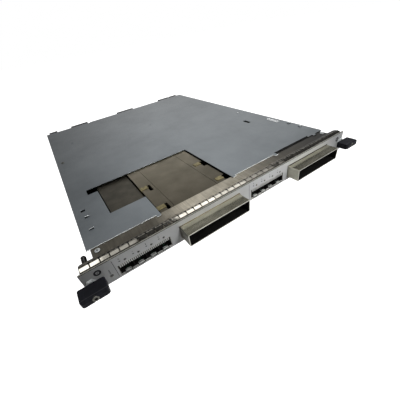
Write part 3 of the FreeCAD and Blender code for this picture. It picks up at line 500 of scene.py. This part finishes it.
for node, (finish, slot, width) in sheetEdges.items():
    piece = softened(node, node + "_sheet", width)
    if node == "faceplate":
        openMesh(piece)
        # a cut below the top: above it the front takes a painted shade line
        bpy.ops.mesh.bisect(plane_co=at(0, 0, bareAndPaintedLightEdges["paint"]), plane_no=(0, 0, 1))
    finishPiece(piece, finish, stands=[node])
    if node == "top_cover":
        # painted highlight on the front edges, the tabs and the lance roofs; black painted shade on the
        # front edges of the set-back stretch
        zoneFinish(piece, "paintedHighlight", lambda middle, normal: isFrontEdge(middle, normal)
                   or middle.y < bareAndPaintedLightEdges["tabs"] or middle.z > bareAndPaintedLightEdges["roof"])
        zoneFinish(piece, "blackLining", lambda middle, normal: isFrontEdge(middle, normal)
                   and recessLeft < middle.x < recessRight and middle.y > bareAndPaintedLightEdges["recessFront"])
        zoneFinish(piece, "railSteel", lambda middle, normal: isFrontEdge(middle, normal)
                   and middle.x > recessRight)  # painted shade at this end
    if node == "faceplate":
        # bare metal off the front; a painted highlight on the top and painted shade on the front above the
        # cut
        zoneFinish(piece, "railSteel", lambda middle, normal: normal.y > -bareAndPaintedLightEdges["painted"]
                   or middle.y > bareAndPaintedLightEdges["paintDeep"])
        zoneFinish(piece, "plateTopHighlight", lambda middle, normal: normal.z > bareAndPaintedLightEdges["rimSlope"]
                   and middle.z > bareAndPaintedLightEdges["rim"])
        zoneFinish(piece, "edgeShade", lambda middle, normal: normal.y < -bareAndPaintedLightEdges["rimSlope"]
                   and middle.z > bareAndPaintedLightEdges["paint"])

# dark gaps of the cover: painted shade, black sheets in front of its set-back stretch and under its rear
# slot
gapLook = {"front": 28.7, "back": 32.5, "low": 30.5, "high": 30.9,
           "padLow": (151, 155, 29.6), "padHigh": (163, 178, 30.5)}
blackStrip("recessShadeSheet", (recessLeft, gapLook["front"], gapLook["low"]),
          (recessRight, gapLook["back"], gapLook["high"]), "blackLining")
blackStrip("slotShadeSheet", gapLook["padLow"], gapLook["padHigh"], "blackLining")
print("sheets softened:", len(sheetEdges))

# what the cut-out shows: plates and rails of the bays, their clips and the shield, with worn edges
bronze = ("bronzePlate", "bronze_plate", 0.35)
innerEdges = {"heat_plate": bronze, "inner_rail": bronze, "outer_rail": bronze,
              "clips": ("brassClip", "clip_brass", 0.2)}
# the inner rail goes on under the cover and the shield stands higher, as the photograph's narrow gaps tell
innerReach = {"rail": "left_bay_inner_rail", "railSide": -4.8, "railMore": 1.8,
              "shieldEdge": 0.4, "shieldTop": 20.0, "shieldMore": 4.5}
for hand in ("left", "right"):
    for stem, (finish, slot, width) in innerEdges.items():
        node = f"{hand}_bay_{stem}"
        piece = softened(node, node + "_worn", width)
        if node == innerReach["rail"]:
            openMesh(piece)
            pick("VERT", lambda vert: spot(vert).x > innerReach["railSide"])
            moveBy(innerReach["railMore"], 0, 0)
        finishPiece(piece, finish, stands=[node])
shield = softened("shield_can", "shield_can_worn", innerReach["shieldEdge"])
openMesh(shield)
pick("VERT", lambda vert: spot(vert).z > innerReach["shieldTop"])
moveBy(0, 0, innerReach["shieldMore"])
finishPiece(shield, "shieldTin", stands=["shield_can"])
print("inner plates softened")

# turn handles
handleLook = {"x": 210.0, "z": 15.875, "half": 13.7, "thick": 4.2, "nose": -22.3, "tail": -4.0,
              "corners": (3.1, 1.9), "cornerSteps": 6, "crease": 3.8, "creaseEdge": 0.4, "drop": 1.1,
              "rim": 0.7, "rimSteps": 4, "recess": 3.8, "floor": -17.8, "bore": 3.22, "sides": 48,
              "creaseBand": 0.35}
handleX, handleZ, apart = -handleLook["x"], handleLook["z"], handleLook["x"] * 2
creaseY = handleLook["nose"] + handleLook["crease"]


def turnHandle(look):
    x, z, half, thick = handleX, handleZ, look["half"], look["thick"]
    nose, tail = look["nose"], look["tail"]
    piece = startBox("leftTurnHandle", (x - half, nose, z - thick), (x + half, tail, z + thick))
    openMesh(piece)
    bpy.ops.mesh.bisect(plane_co=at(x, creaseY, z), plane_no=(0, 1, 0))
    pick("VERT", lambda vert: spot(vert).y < nose + near)  # both flats slope down to the nose
    scaleBy(1, 1, 1 - look["drop"] / thick, at(x, nose, z))
    for end, corner in zip((nose, tail), look["corners"]):
        pick("EDGE", lambda edge: abs(spot(edge).z - z) < near and abs(spot(edge).y - end) < near
             and abs(spot(edge).x - x) > half - near)
        roundEdges(corner, look["cornerSteps"])
    pick("EDGE", lambda edge: abs(spot(edge).y - creaseY) < near and abs(spot(edge).z - z) > near)
    roundEdges(look["creaseEdge"])
    pickSharp()
    roundEdges(look["rim"], look["rimSteps"])
    recess = startRod("recess", look["recess"], look["sides"], (x, nose - over, z), (x, look["floor"], z))
    bore = startRod("bore", look["bore"], look["sides"], (x, look["floor"] - over, z), (x, tail + over, z))
    carve(piece, recess, bore)
    return piece


for piece, hand in handed(turnHandle(handleLook), "TurnHandle", apart):
    finishPiece(piece, "nylonGrip", hand + "_handle", [hand + "_knob"])
    # a painted highlight on the flats beside the crease
    zoneFinish(piece, "nylonCreaseHighlight", lambda middle, normal: abs(normal.z) > facing
               and abs(middle.y - creaseY) < handleLook["creaseBand"])
print("turn handles done")

# socket screws in the handles, with a six-sided key hole
socketLook = {"radius": 3.5, "sides": 48, "front": -21.8, "seat": -17.8, "edge": 0.55, "edgeSteps": 4,
              "key": 1.75, "keySides": 6, "deep": 2.2, "lead": 0.25, "leadSides": 32, "walls": 0.3}


def socketScrew(look):
    x, z, front = handleX, handleZ, look["front"]
    piece = startRod("leftSocketScrew", look["radius"], look["sides"], (x, look["seat"], z), (x, front, z))
    openMesh(piece)
    pickSharp(lambda edge: spot(edge).y < front + near)
    roundEdges(look["edge"], look["edgeSteps"])
    key = startRod("key", look["key"], look["keySides"], (x, front - over, z), (x, front + look["deep"], z))
    lead = startRod("lead", look["key"] + look["lead"], look["leadSides"], (x, front - over, z),
                    (x, front + look["lead"], z))
    carve(piece, key, lead)
    return piece


for piece, hand in handed(socketScrew(socketLook), "SocketScrew", apart):
    finishPiece(piece, "dullZinc", hand + "_handle", [hand + "_knob_screw"])
    # painted shade: the sides of the head and of its key hole are black
    zoneFinish(piece, "blackOxide", lambda middle, normal: abs(normal.y) < socketLook["walls"])
print("socket screws done")

# jackscrews: plain stud, then a rolled thread with a turned tip
# flank and land: shares of the pitch that the thread's slopes and flats take up
threadLook = {"stud": 3.2, "studSides": 40, "crest": 3.0, "root": 2.45, "pitch": 1.25, "flank": 0.35,
              "land": 0.15, "front": 8.9, "rear": 41.5, "tip": 1.2, "tipShare": 0.62, "steps": 24}


def jackscrew(look):
    x, z = handleX, handleZ
    stud = startRod("stud", look["stud"], look["studSides"], (x, handleLook["floor"], z),
                    (x, look["front"], z))
    deselect()
    bpy.ops.mesh.primitive_plane_add(size=mm)
    thread = bpy.context.object
    openMesh(thread)
    bpy.ops.mesh.merge(type="CENTER")
    rise, pitch, flank, land = look["crest"] - look["root"], look["pitch"], look["flank"], look["land"]
    moveBy(look["root"], 0, -pitch)
    for out, up in ((rise, flank), (0, land), (-rise, flank), (0, land)):
        bpy.ops.mesh.extrude_vertices_move(TRANSFORM_OT_translate={"value": (out * mm, 0, up * pitch * mm)})
    choose(thread)
    long = look["rear"] - look["tip"] - look["front"]
    wind = thread.modifiers.new("wind", "SCREW")
    wind.screw_offset = pitch * mm
    wind.iterations = math.ceil(long / pitch) + 2
    wind.steps = wind.render_steps = look["steps"]
    wind.use_merge_vertices = True
    wind.merge_threshold = weld / 2 * mm
    bpy.ops.object.modifier_apply(modifier=wind.name)
    openMesh(thread)
    bpy.ops.mesh.remove_doubles(threshold=weld * mm)
    for height, way in ((0, -1), (long, 1)):  # cut square at both ends
        bpy.ops.mesh.select_all(action="SELECT")
        bpy.ops.mesh.bisect(plane_co=(0, 0, height * mm), plane_no=(0, 0, way), use_fill=True,
                            clear_outer=True)
    pick("FACE", lambda face: face.normal.z > facing and face.calc_center_median().z > (long - near) * mm)
    extrudeBy(0, 0, look["tip"])
    scaleBy(look["tipShare"], look["tipShare"], 1, (0, 0, long * mm))
    bpy.ops.mesh.select_all(action="SELECT")
    bpy.ops.mesh.normals_make_consistent(inside=False)
    choose(thread)
    thread.rotation_euler = (-math.pi / 2, 0, 0)
    thread.location = at(x, look["front"], z)
    bpy.ops.object.transform_apply(location=True, rotation=True, scale=True)
    return joinPieces([stud, thread], "leftThread")


for piece, hand in handed(jackscrew(threadLook), "Thread", apart):
    finishPiece(piece, "blackOxide", hand + "_handle", [hand + "_jackscrew"])

turnedEdge = 0.35  # rounding of the bushings and nuts, in mm
# the bushings take a painted highlight
for hand in ("left", "right"):
    for part, body, finish in (("bushing", "chassis", "paintedHighlight"),
                               ("bushing_nut", "chassis", "brightZinc"),
                               ("retaining_nut", hand + "_handle", "brightZinc")):
        node = f"{hand}_{part}"
        finishPiece(softened(node, node + "_turned", turnedEdge), finish, body, [node])
print("jackscrews done")

# spring fingers along the top of the faceplate
# profile: depth from the front lip and height above the rail, in mm: lip, long slope to the crest, fall to
# the rail; slack: clearance when rows are picked; sway: most that a finger leans, in degrees
stripLook = {"half": 214.4, "front": 4.0, "base": 30.5, "thick": 0.22, "pitch": 10.44, "count": 41,
             "slit": 1.4, "slitEnd": 5.2, "window": 3.6, "windowEnds": (5.3, 7.4), "relief": 1.7,
             "slack": 0.05, "sway": 1.1, "seed": 5, "merge": 0.02, "trim": 0.9985, "trimTop": 32.5,
             "profile": ((0, 0.25), (0.15, 0.7), (0.6, 0.92), (1.6, 1.24), (2.8, 1.6), (3.9, 1.86),
                         (4.5, 1.95), (4.8, 1.95), (5.1, 1.92), (5.3, 1.88), (7.4, 1.24), (7.55, 1.19),
                         (8.5, 0.85), (10.0, 0.36), (10.4, 0.24)),
             "shadeSheetEnd": 213.8, "under": ((8.6, 30.5), (12.0, 30.9)), "groove": ((2.1, 30.45), (3.8, 30.75))}


def springFinger(look):
    pitch, profile, slack = look["pitch"], look["profile"], look["slack"]
    wide, rows = pitch - look["slit"], len(profile) - 1
    deselect()
    front = at(0, look["front"], look["base"])
    bpy.ops.mesh.primitive_grid_add(x_subdivisions=3, y_subdivisions=rows, size=1, location=front)
    bpy.context.object.scale = (wide * mm, rows * mm, 1)
    piece = settle("springFinger")
    openMesh(piece)
    pick("VERT", lambda vert: abs(spot(vert).x) < wide / 4)
    scaleBy(look["window"] * 3 / wide, 1, 1, front)
    start = look["front"] - rows / 2
    for row in range(rows, -1, -1):  # each row goes to its place on the profile, the last one first
        depth, height = profile[row]
        pick("VERT", lambda vert: abs(spot(vert).y - start - row) < near
             and spot(vert).z < look["base"] + near)
        moveBy(0, look["front"] + depth - start - row, height)
    low, high = (look["front"] + end for end in look["windowEnds"])
    relief = (low - slack, high + slack, pitch - look["relief"] * 2)
    root = (high + 2 * slack, math.inf, pitch)
    for first, last, reach in (relief, root):  # relief holes between fingers, then the joined root
        pick("VERT", lambda vert: abs(spot(vert).x) > wide / 2 - near and first < spot(vert).y < last)
        scaleBy(reach / wide, 1, 1, front)
    pick("FACE", lambda face: abs(spot(face).x) < near and low < spot(face).y < high)
    bpy.ops.mesh.delete(type="FACE")
    thicken(piece, look["thick"], -1)
    return piece


pattern = springFinger(stripLook)
random.seed(stripLook["seed"])
crest = max(height for depth, height in stripLook["profile"])
slitEnd = stripLook["front"] + stripLook["slitEnd"]
fingers = []
for index in range(stripLook["count"]):
    x = (index - (stripLook["count"] - 1) / 2) * stripLook["pitch"]
    finger = copyPiece(pattern, f"finger{index}", x=x)
    openMesh(finger)
    freeEnd = slitEnd + stripLook["slack"]
    pick("VERT", lambda vert: spot(vert).y < freeEnd)  # only the free end of a finger has sprung
    bpy.ops.transform.rotate(value=math.radians(random.uniform(-1, 1) * stripLook["sway"]), orient_axis="Y",
                             center_override=at(x, freeEnd, stripLook["base"] + crest))
    fingers.append(finger)
bpy.data.objects.remove(pattern)
gasket = joinPieces(fingers, "springFingers")
openMesh(gasket)
bpy.ops.mesh.remove_doubles(threshold=stripLook["merge"] * mm)
pick("VERT", lambda vert: abs(spot(vert).x) > stripLook["half"] or spot(vert).z > stripLook["trimTop"])
scaleBy(stripLook["trim"], 1, 1, at(0, 0, stripLook["base"]))
finishPiece(gasket, "springStrip", stands=["finger_gasket"])
zoneFinish(gasket, "railSteel", lambda middle, normal: middle.y > slitEnd)  # root in the rail's finish, with its painted highlight and painted shade along x
# black strips under the fingers and in the groove in front of them: painted shade, so that the slits and
# the groove read dark
for name, seal in (("fingerShadeSheet", "under"), ("grooveShadeSheet", "groove")):
    (front, low), (back, high) = stripLook[seal]
    blackStrip(name, (-stripLook["shadeSheetEnd"], front, low), (stripLook["shadeSheetEnd"], back, high))
print("spring fingers:", stripLook["count"])

# shrouds of the large bays
shroudLook = {"left": -57.8, "right": 128.2, "half": 46.3, "low": 4.8, "high": 23.3, "nose": -18.8,
              "wall": 1.35, "flange": 50.5, "flangeLow": 4.2, "flangeHigh": 24.8, "flangeFront": 2.0,
              "flangeBack": 4.4, "inset": 0.1, "corner": 1.8, "cornerSteps": 5, "rim": 0.35,
              "sideSlope": 0.6, "rimSlope": 0.4, "rimDeep": 0.6, "slack": 0.05}


def bayShroud(look):
    x, nose, inset = look["left"], look["nose"], look["inset"]
    flange, front, back = look["flange"], look["flangeFront"], look["flangeBack"]
    low, high = look["flangeLow"], look["flangeHigh"]
    piece = startBox("leftShroud", (x - flange, front, low), (x + flange, back, high))
    openMesh(piece)
    pick("FACE", lambda face: face.normal.y < -facing)
    bpy.ops.mesh.inset(thickness=inset * mm)
    middle, tall = (low + high) / 2, look["high"] - look["low"]
    scaleBy(look["half"] / (flange - inset), 1, tall / (high - low - 2 * inset), at(x, front, middle))
    moveBy(0, 0, (look["low"] + look["high"]) / 2 - middle)
    extrudeBy(0, nose - front, 0)
    pick("EDGE", lambda edge: abs(spot(edge).y - (nose + front) / 2) < near)
    roundEdges(look["corner"], look["cornerSteps"])
    pick("FACE", lambda face: face.normal.y < -facing and spot(face).y < nose + near)
    bpy.ops.mesh.inset(thickness=look["wall"] * mm)
    extrudeBy(0, back - nose, 0)
    pick("FACE", lambda face: abs(face.normal.y) > facing and spot(face).y > back - near)
    bpy.ops.mesh.delete(type="FACE")
    pick("EDGE", lambda edge: edge.is_boundary)
    bpy.ops.mesh.bridge_edge_loops()
    pickSharp(lambda edge: spot(edge).y < nose + near)
    roundEdges(look["rim"])
    bpy.ops.mesh.select_all(action="SELECT")
    bpy.ops.mesh.normals_make_consistent(inside=False)
    return piece


for piece, hand in handed(bayShroud(shroudLook), "Shroud", shroudLook["right"] - shroudLook["left"]):
    finishPiece(piece, "satinNickel", stands=[hand + "_bay_shroud"])
    x, wall, slack = shroudLook[hand], shroudLook["wall"], shroudLook["slack"]
    inner, low, high = shroudLook["half"] - wall, shroudLook["low"] + wall, shroudLook["high"] - wall
    # painted light on the shrouds: pale sides, a painted highlight on the rims, black painted shade inside
    zoneFinish(piece, "sidePaintedLight", lambda middle, normal: normal.x < -shroudLook["sideSlope"]
               and middle.x < x - inner)
    zoneFinish(piece, "rimHighlight", lambda middle, normal: normal.y < -shroudLook["rimSlope"]
               and middle.y < shroudLook["nose"] + shroudLook["rimDeep"])
    zoneFinish(piece, "blackLining", lambda middle, normal: abs(normal.y) < shroudLook["rimSlope"]
               and abs(middle.x - x) < inner + slack and low - slack < middle.z < high + slack)
print("shrouds done")

# small port banks: comb of spring teeth over each opening, pressed tongues below
bankLook = {"left": -150.0, "right": 40.3, "half": 31.2, "ports": (-1.5, -0.5, 0.5, 1.5), "cell": 15.4,
            "teeth": 28, "pitch": 2.16, "tooth": 1.3, "front": -0.3, "legBack": -0.02, "back": 0.7,
            "hook": 18.3, "low": 14.0, "high": 17.05, "round": 0.28,
            "seal": (1.0, 1.35), "sealLow": 13.8, "sealHigh": 17.15,
            "tongue": 4.3, "tongueFront": -0.85, "tongueBack": 3.4, "tongueLow": 3.0, "tongueHigh": 4.7,
            "taper": 0.78, "lean": 0.8, "tongueSharp": 25, "tongueEdge": 0.35,
            "sill": (0.3, 3.0), "sillLow": 2.95, "sillHigh": 4.1}


def combTooth(look):
    half = look["tooth"] / 2
    piece = startBox("combTooth", (-half, look["front"], look["low"]), (half, look["back"], look["high"]))
    openMesh(piece)
    bpy.ops.mesh.bisect(plane_co=at(0, look["legBack"], look["low"]), plane_no=(0, 1, 0))
    # the front leg hooks over the plate
    pick("FACE", lambda face: face.normal.z > facing and spot(face).y < look["legBack"])
    extrudeBy(0, 0, look["hook"] - look["high"])
    pick("EDGE", lambda edge: spot(edge).y < look["front"] + near)
    roundEdges(look["round"] / 2)
    return piece


def portTongue(look):
    half, back, high = look["tongue"], look["tongueBack"], look["tongueHigh"]
    piece = startBox("portTongue", (-half, look["tongueFront"], look["tongueLow"]), (half, back, high))
    openMesh(piece)
    pick("FACE", lambda face: face.normal.z > facing)  # the top is narrower and leans back
    scaleBy(look["taper"], look["lean"], 1, at(0, back, high))
    pickSharp(lambda edge: spot(edge).z > look["tongueLow"] + near, look["tongueSharp"])
    roundEdges(look["tongueEdge"])
    return piece


tooth, tongue = combTooth(bankLook), portTongue(bankLook)
for hand in ("left", "right"):
    middle, count = bankLook[hand], bankLook["teeth"]
    left, right = middle - bankLook["half"], middle + bankLook["half"]
    teeth = [copyPiece(tooth, f"tooth{index}", x=middle + (index - (count - 1) / 2) * bankLook["pitch"])
             for index in range(count)]
    finishPiece(joinPieces(teeth, hand + "Comb"), "paleTin",
                stands=["small_port_gasket_" + hand])
    front, back = bankLook["seal"]
    blackStrip(hand + "CombSeal", (left, front, bankLook["sealLow"]), (right, back, bankLook["sealHigh"]))
    lips = [copyPiece(tongue, f"tongue{port}", x=middle + port * bankLook["cell"])
            for port in bankLook["ports"]]
    front, back = bankLook["sill"]
    sill = startBox("sill", (left, front, bankLook["sillLow"]), (right, back, bankLook["sillHigh"]))
    openMesh(sill)
    pickSharp(lambda edge: spot(edge).y < front + near)
    roundEdges(bankLook["round"])
    finishPiece(joinPieces(lips + [sill], hand + "Tongues"), "paleTin")
for pattern in (tooth, tongue):
    bpy.data.objects.remove(pattern)
print("port banks done")

# screws on the cover and the rail; rear and side: beyond these the cover's screws are finished otherwise
headLook = {"radius": 3.0, "tall": 0.9, "edge": 0.5, "edgeSteps": 4, "sides": 32, "slot": 0.8,
            "reach": 1.7, "deep": 0.6, "cover": 31.5, "rail": 30.5, "raised": ((-191.4, 300), (184.2, 224)),
            "flush": ((14, 343), (-157, 400)), "flushShare": 0.3, "ends": ((-192, 22.5), (192, 22.5)),
            "rear": 320, "side": 180, "rimSlope": 0.5, "slotLevel": 0.5}


def panHead(look):
    foot, top = look["cover"], look["cover"] + look["tall"]
    piece = startRod("panHead", look["radius"], look["sides"], (0, 0, foot), (0, 0, top))
    openMesh(piece)
    pickSharp(lambda edge: spot(edge).z > top - near)
    roundEdges(look["edge"], look["edgeSteps"])
    thin, reach = look["slot"] / 2, look["reach"]
    carve(piece, *[startBox("slot", (-x, -y, top - look["deep"]), (x, y, top + over))
                   for x, y in ((thin, reach), (reach, thin))])
    return piece


def headsAt(stem, sink=0.0):
    return [copyPiece(head, stem + "Head", x, y, sink) for x, y in headLook[stem]]


head = panHead(headLook)
raised, flush = headsAt("raised"), headsAt("flush")
for piece in flush:  # these two sit in dimples and hardly show
    openMesh(piece)
    scaleBy(1, 1, headLook["flushShare"], at(0, 0, headLook["cover"]))
coverHeads = finishPiece(joinPieces(raised + flush, "coverScrewHeads"), "brightZinc",
                         stands=["cover_screws"])
# the rear heads in the cover's zinc, the left one darker, the right one with a painted highlight
zoneFinish(coverHeads, "zincSteel", lambda middle, normal: middle.y > headLook["rear"])
zoneFinish(coverHeads, "dullZinc", lambda middle, normal: middle.x < -headLook["side"])
zoneFinish(coverHeads, "paintedHighlight", lambda middle, normal: middle.x > headLook["side"])
ends = headsAt("ends", headLook["rail"] - headLook["cover"])
# rail screw heads: a painted highlight on top, painted shade on their sides and in the slots
railHeads = finishPiece(joinPieces(ends, "railScrewHeads"), "paintedHighlight",
                        stands=["rail_screws"])
zoneFinish(railHeads, "blackOxide", lambda middle, normal: normal.z < headLook["rimSlope"]
           or middle.z < headLook["rail"] + headLook["slotLevel"])
bpy.data.objects.remove(head)

# blank label on the cover, with rounded corners
labelLook = {"low": (188, 114, 31.5), "high": (196, 143, 31.6), "corner": 0.8, "cornerSteps": 3}
label = startBox("coverLabel", labelLook["low"], labelLook["high"])
openMesh(label)
labelMiddle = (labelLook["low"][2] + labelLook["high"][2]) / 2
pick("EDGE", lambda edge: abs(spot(edge).z - labelMiddle) < near)
roundEdges(labelLook["corner"], labelLook["cornerSteps"])
finishPiece(label, "paperLabel")
print("screw heads and label done")

# print on the faceplate: dividing lines, turn signs, a number and a bar beside each port
inkLook = {"proud": 0.05, "sunk": 0.02, "lines": (-184.5, 5.0), "lineHalf": 0.225, "lineLow": 3.5,
           "lineHigh": 28.6, "signs": ((-200.5, 23.6), (202, 22.2)), "signOuter": 3.8, "signInner": 1.8,
           "signSides": 32, "signCut": 0.5, "arrow": 1.3, "arrowSides": 3, "digit": 3.0, "digitThick": 0.03,
           "digitX": -4.4, "digitLow": 25.2, "barLow": 22.3, "barHigh": 23.4, "barHalf": 0.9,
           "dotX": -190.7, "dotHalf": 0.7, "dots": (12.6, 14.4, 16.2, 18.0), "dotTall": 0.9}


def inkBox(x, half, low, high):
    return startBox("ink", (x - half, -inkLook["proud"], low), (x + half, inkLook["sunk"], high))


def inkRod(name, radius, sides, x, z):
    return startRod(name, radius, sides, (x, inkLook["sunk"], z), (x, -inkLook["proud"], z))


def inkNumber(text, x, z):
    deselect()
    bpy.ops.object.text_add(rotation=(math.pi / 2, 0, 0), location=at(x, -inkLook["proud"], z))
    words = bpy.context.object
    words.data.body = text
    words.data.size = inkLook["digit"] * mm
    words.data.align_x = "CENTER"
    words.data.extrude = inkLook["digitThick"] * mm
    bpy.ops.object.convert(target="MESH")
    return settle("digit" + text)


marks = [inkBox(x, inkLook["lineHalf"], inkLook["lineLow"], inkLook["lineHigh"]) for x in inkLook["lines"]]
for x, z in inkLook["signs"]:  # an arrow in a ring
    ring = inkRod("ring", inkLook["signOuter"], inkLook["signSides"], x, z)
    carve(ring, startRod("eye", inkLook["signInner"], inkLook["signSides"], (x, inkLook["signCut"], z),
                         (x, -inkLook["signCut"], z)))
    marks += [ring, inkRod("arrow", inkLook["arrow"], inkLook["arrowSides"], x, z)]
marks += [inkBox(inkLook["dotX"], inkLook["dotHalf"], z, z + inkLook["dotTall"]) for z in inkLook["dots"]]
for hand, first in (("left", 0), ("right", 4)):
    for index, port in enumerate(bankLook["ports"]):
        x = bankLook[hand] + port * bankLook["cell"] + inkLook["digitX"]
        marks.append(inkNumber(str(first + index), x, inkLook["digitLow"]))
        marks.append(inkBox(x, inkLook["barHalf"], inkLook["barLow"], inkLook["barHigh"]))
finishPiece(joinPieces(marks, "platePrint"), "printInk")
print("print marks:", len(marks))

# gold contacts in the slots of the rear connectors; spans: the power connector, then the four signal ones
contactLook = {"pitch": 4.0, "margin": 3.0, "half": 0.3, "low": 6.2, "high": 27.0, "front": 539.6,
               "back": 543.0, "edge": 0.15,
               "spans": ((-195.3, -175.5), (-139.7, -95.2), (-8.2, 41.4), (129, 165), (168.6, 192.5))}
blade = startBox("blade", (-contactLook["half"], contactLook["front"], contactLook["low"]),
                 (contactLook["half"], contactLook["back"], contactLook["high"]))
openMesh(blade)
pickSharp(lambda edge: spot(edge).y > contactLook["back"] - near)
roundEdges(contactLook["edge"], 1)
blades = []
for left, right in contactLook["spans"]:
    count = int((right - left - contactLook["margin"]) // contactLook["pitch"])
    for index in range(count):
        x = (left + right) / 2 + (index - (count - 1) / 2) * contactLook["pitch"]
        blades.append(copyPiece(blade, f"blade{len(blades)}", x=x))
bpy.data.objects.remove(blade)
finishPiece(joinPieces(blades, "rearContacts"), "goldContact")
print("rear contacts:", len(blades))

# studio: white sweep, soft lamps
white = (1, 1, 1, 1)
floorLook = {"half": 6.0, "drop": 0.0001, "glow": 0.8, "mirror": 0.85, "cloth": "#d8d8d8", "shade": 0.25}
deselect()
bpy.ops.mesh.primitive_plane_add(size=floorLook["half"] * 2,
                                 location=(0, 0, cadBox[0].z - floorLook["drop"]))
floor = bpy.context.object
floor.name = "floor"
sweep, tree = startMaterial("whiteSweep")
ray = addNode(tree, "LightPath")
cloth = addNode(tree, "BsdfDiffuse", {"Color": linear(floorLook["cloth"])})
glow = addNode(tree, "Emission", {"Color": white, "Strength": floorLook["glow"]})
mirrored = addNode(tree, "Emission", {"Color": white, "Strength": floorLook["mirror"]})
seen = addNode(tree, "MixShader", {"Fac": floorLook["shade"]}, {1: glow.outputs[0], 2: cloth.outputs[0]})
both = addNode(tree, "AddShader", links={0: glow.outputs[0], 1: seen.outputs[0]})
inGloss = addNode(tree, "MixShader", links={"Fac": ray.outputs["Is Glossy Ray"], 1: cloth.outputs[0],
                                            2: mirrored.outputs[0]})
shown = addNode(tree, "MixShader", links={"Fac": ray.outputs["Is Camera Ray"], 1: inGloss.outputs[0],
                                          2: both.outputs[0]})
addNode(tree, "OutputMaterial", links={"Surface": shown.outputs[0]})
floor.data.materials.append(sweep)

# the room that metal mirrors: dark on the left, at the horizon and overhead, bright behind on the right
# each fade: where it starts and ends, and the light at both
roomLook = {"across": (-0.06, 0.3, 0.36, 1.1), "rising": (0.06, 0.24, 0.25, 1.0),
            "falling": (0.33, 0.47, 1.0, 0.06), "tilt": (0.3, -0.5, 1.0), "fill": 0.16, "plain": 1.0}
world = bpy.data.worlds.new("studio")
scene.world = world
world.use_nodes = True
tree = world.node_tree
tree.nodes.clear()
ray = addNode(tree, "LightPath")
heading = addNode(tree, "TexCoord").outputs["Generated"]
parts = addNode(tree, "SeparateXYZ", links={0: heading})
height = addNode(tree, "VectorMath", {"operation": "DOT_PRODUCT", 1: roomLook["tilt"]}, {0: heading})
fades = {"rising": parts.outputs["Z"], "falling": height.outputs["Value"], "across": parts.outputs["X"]}
level = None
for fade, source in fades.items():
    light = addNode(tree, "MapRange", dict(zip(rangeKeys, roomLook[fade])), {"Value": source})
    level = addNode(tree, "Math", {"operation": "MULTIPLY"},
                    {0: level.outputs[0], 1: light.outputs[0]}) if level else light
gloss = addNode(tree, "Background", {"Color": white}, {"Strength": level.outputs[0]})
fill = addNode(tree, "Background", {"Color": white, "Strength": roomLook["fill"]})
plain = addNode(tree, "Background", {"Color": white, "Strength": roomLook["plain"]})
room = fill
for kind, backdrop in (("Is Glossy Ray", gloss), ("Is Camera Ray", plain), ("Is Transmission Ray", plain)):
    room = addNode(tree, "MixShader", links={"Fac": ray.outputs[kind], 1: room.outputs[0],
                                             2: backdrop.outputs[0]})
addNode(tree, "OutputWorld", links={"Surface": room.outputs[0]})

# place, aim and size in metres, power in watts, spread in degrees, and whether it lights or only shows
# in gloss
lamps = {
    "keyBox": ((0.16, -0.6, 0.42), (0.055, -0.25, 0.015), (0.3, 0.3), 0.41, 58, True),
    "overheadBox": ((0.37, 0.0, 1.2), (0.37, 0.0, 0.0), (0.36, 0.8), 2.4, 180, True),
    "leftStrip": ((-0.41, 0.0, 1.2), (-0.41, 0.0, 0.0), (0.17, 0.8), 1.4, 180, True),
    "overheadFlank": ((0.67, 0.0, 1.2), (0.67, 0.0, 0.0), (0.24, 0.8), 1.0, 180, False),
    "overheadTail": ((0.97, 0.0, 1.2), (0.97, 0.0, 0.0), (0.36, 0.8), 0.62, 180, False),
    "leftTail": ((-0.215, 0.0, 1.2), (-0.215, 0.0, 0.0), (0.22, 0.8), 0.38, 180, False),
    "frontCard": ((0.45, -1.0, 0.95), (0.1, -0.23, 0.03), (1.7, 0.6), 12, 180, False),
}
for name, (place, aim, size, power, spread, lights) in lamps.items():
    lampData = bpy.data.lights.new(name, "AREA")
    lampData.shape = "RECTANGLE"
    lampData.size, lampData.size_y = size
    lampData.energy = power
    lampData.spread = math.radians(spread)
    lamp = bpy.data.objects.new(name, lampData)
    lamp.location = place
    lamp.rotation_euler = (Vector(aim) - Vector(place)).to_track_quat("-Z", "Y").to_euler()
    lamp.visible_camera = False
    lamp.visible_diffuse = lights
    scene.collection.objects.link(lamp)
print("studio lit by", len(lamps), "lamps")
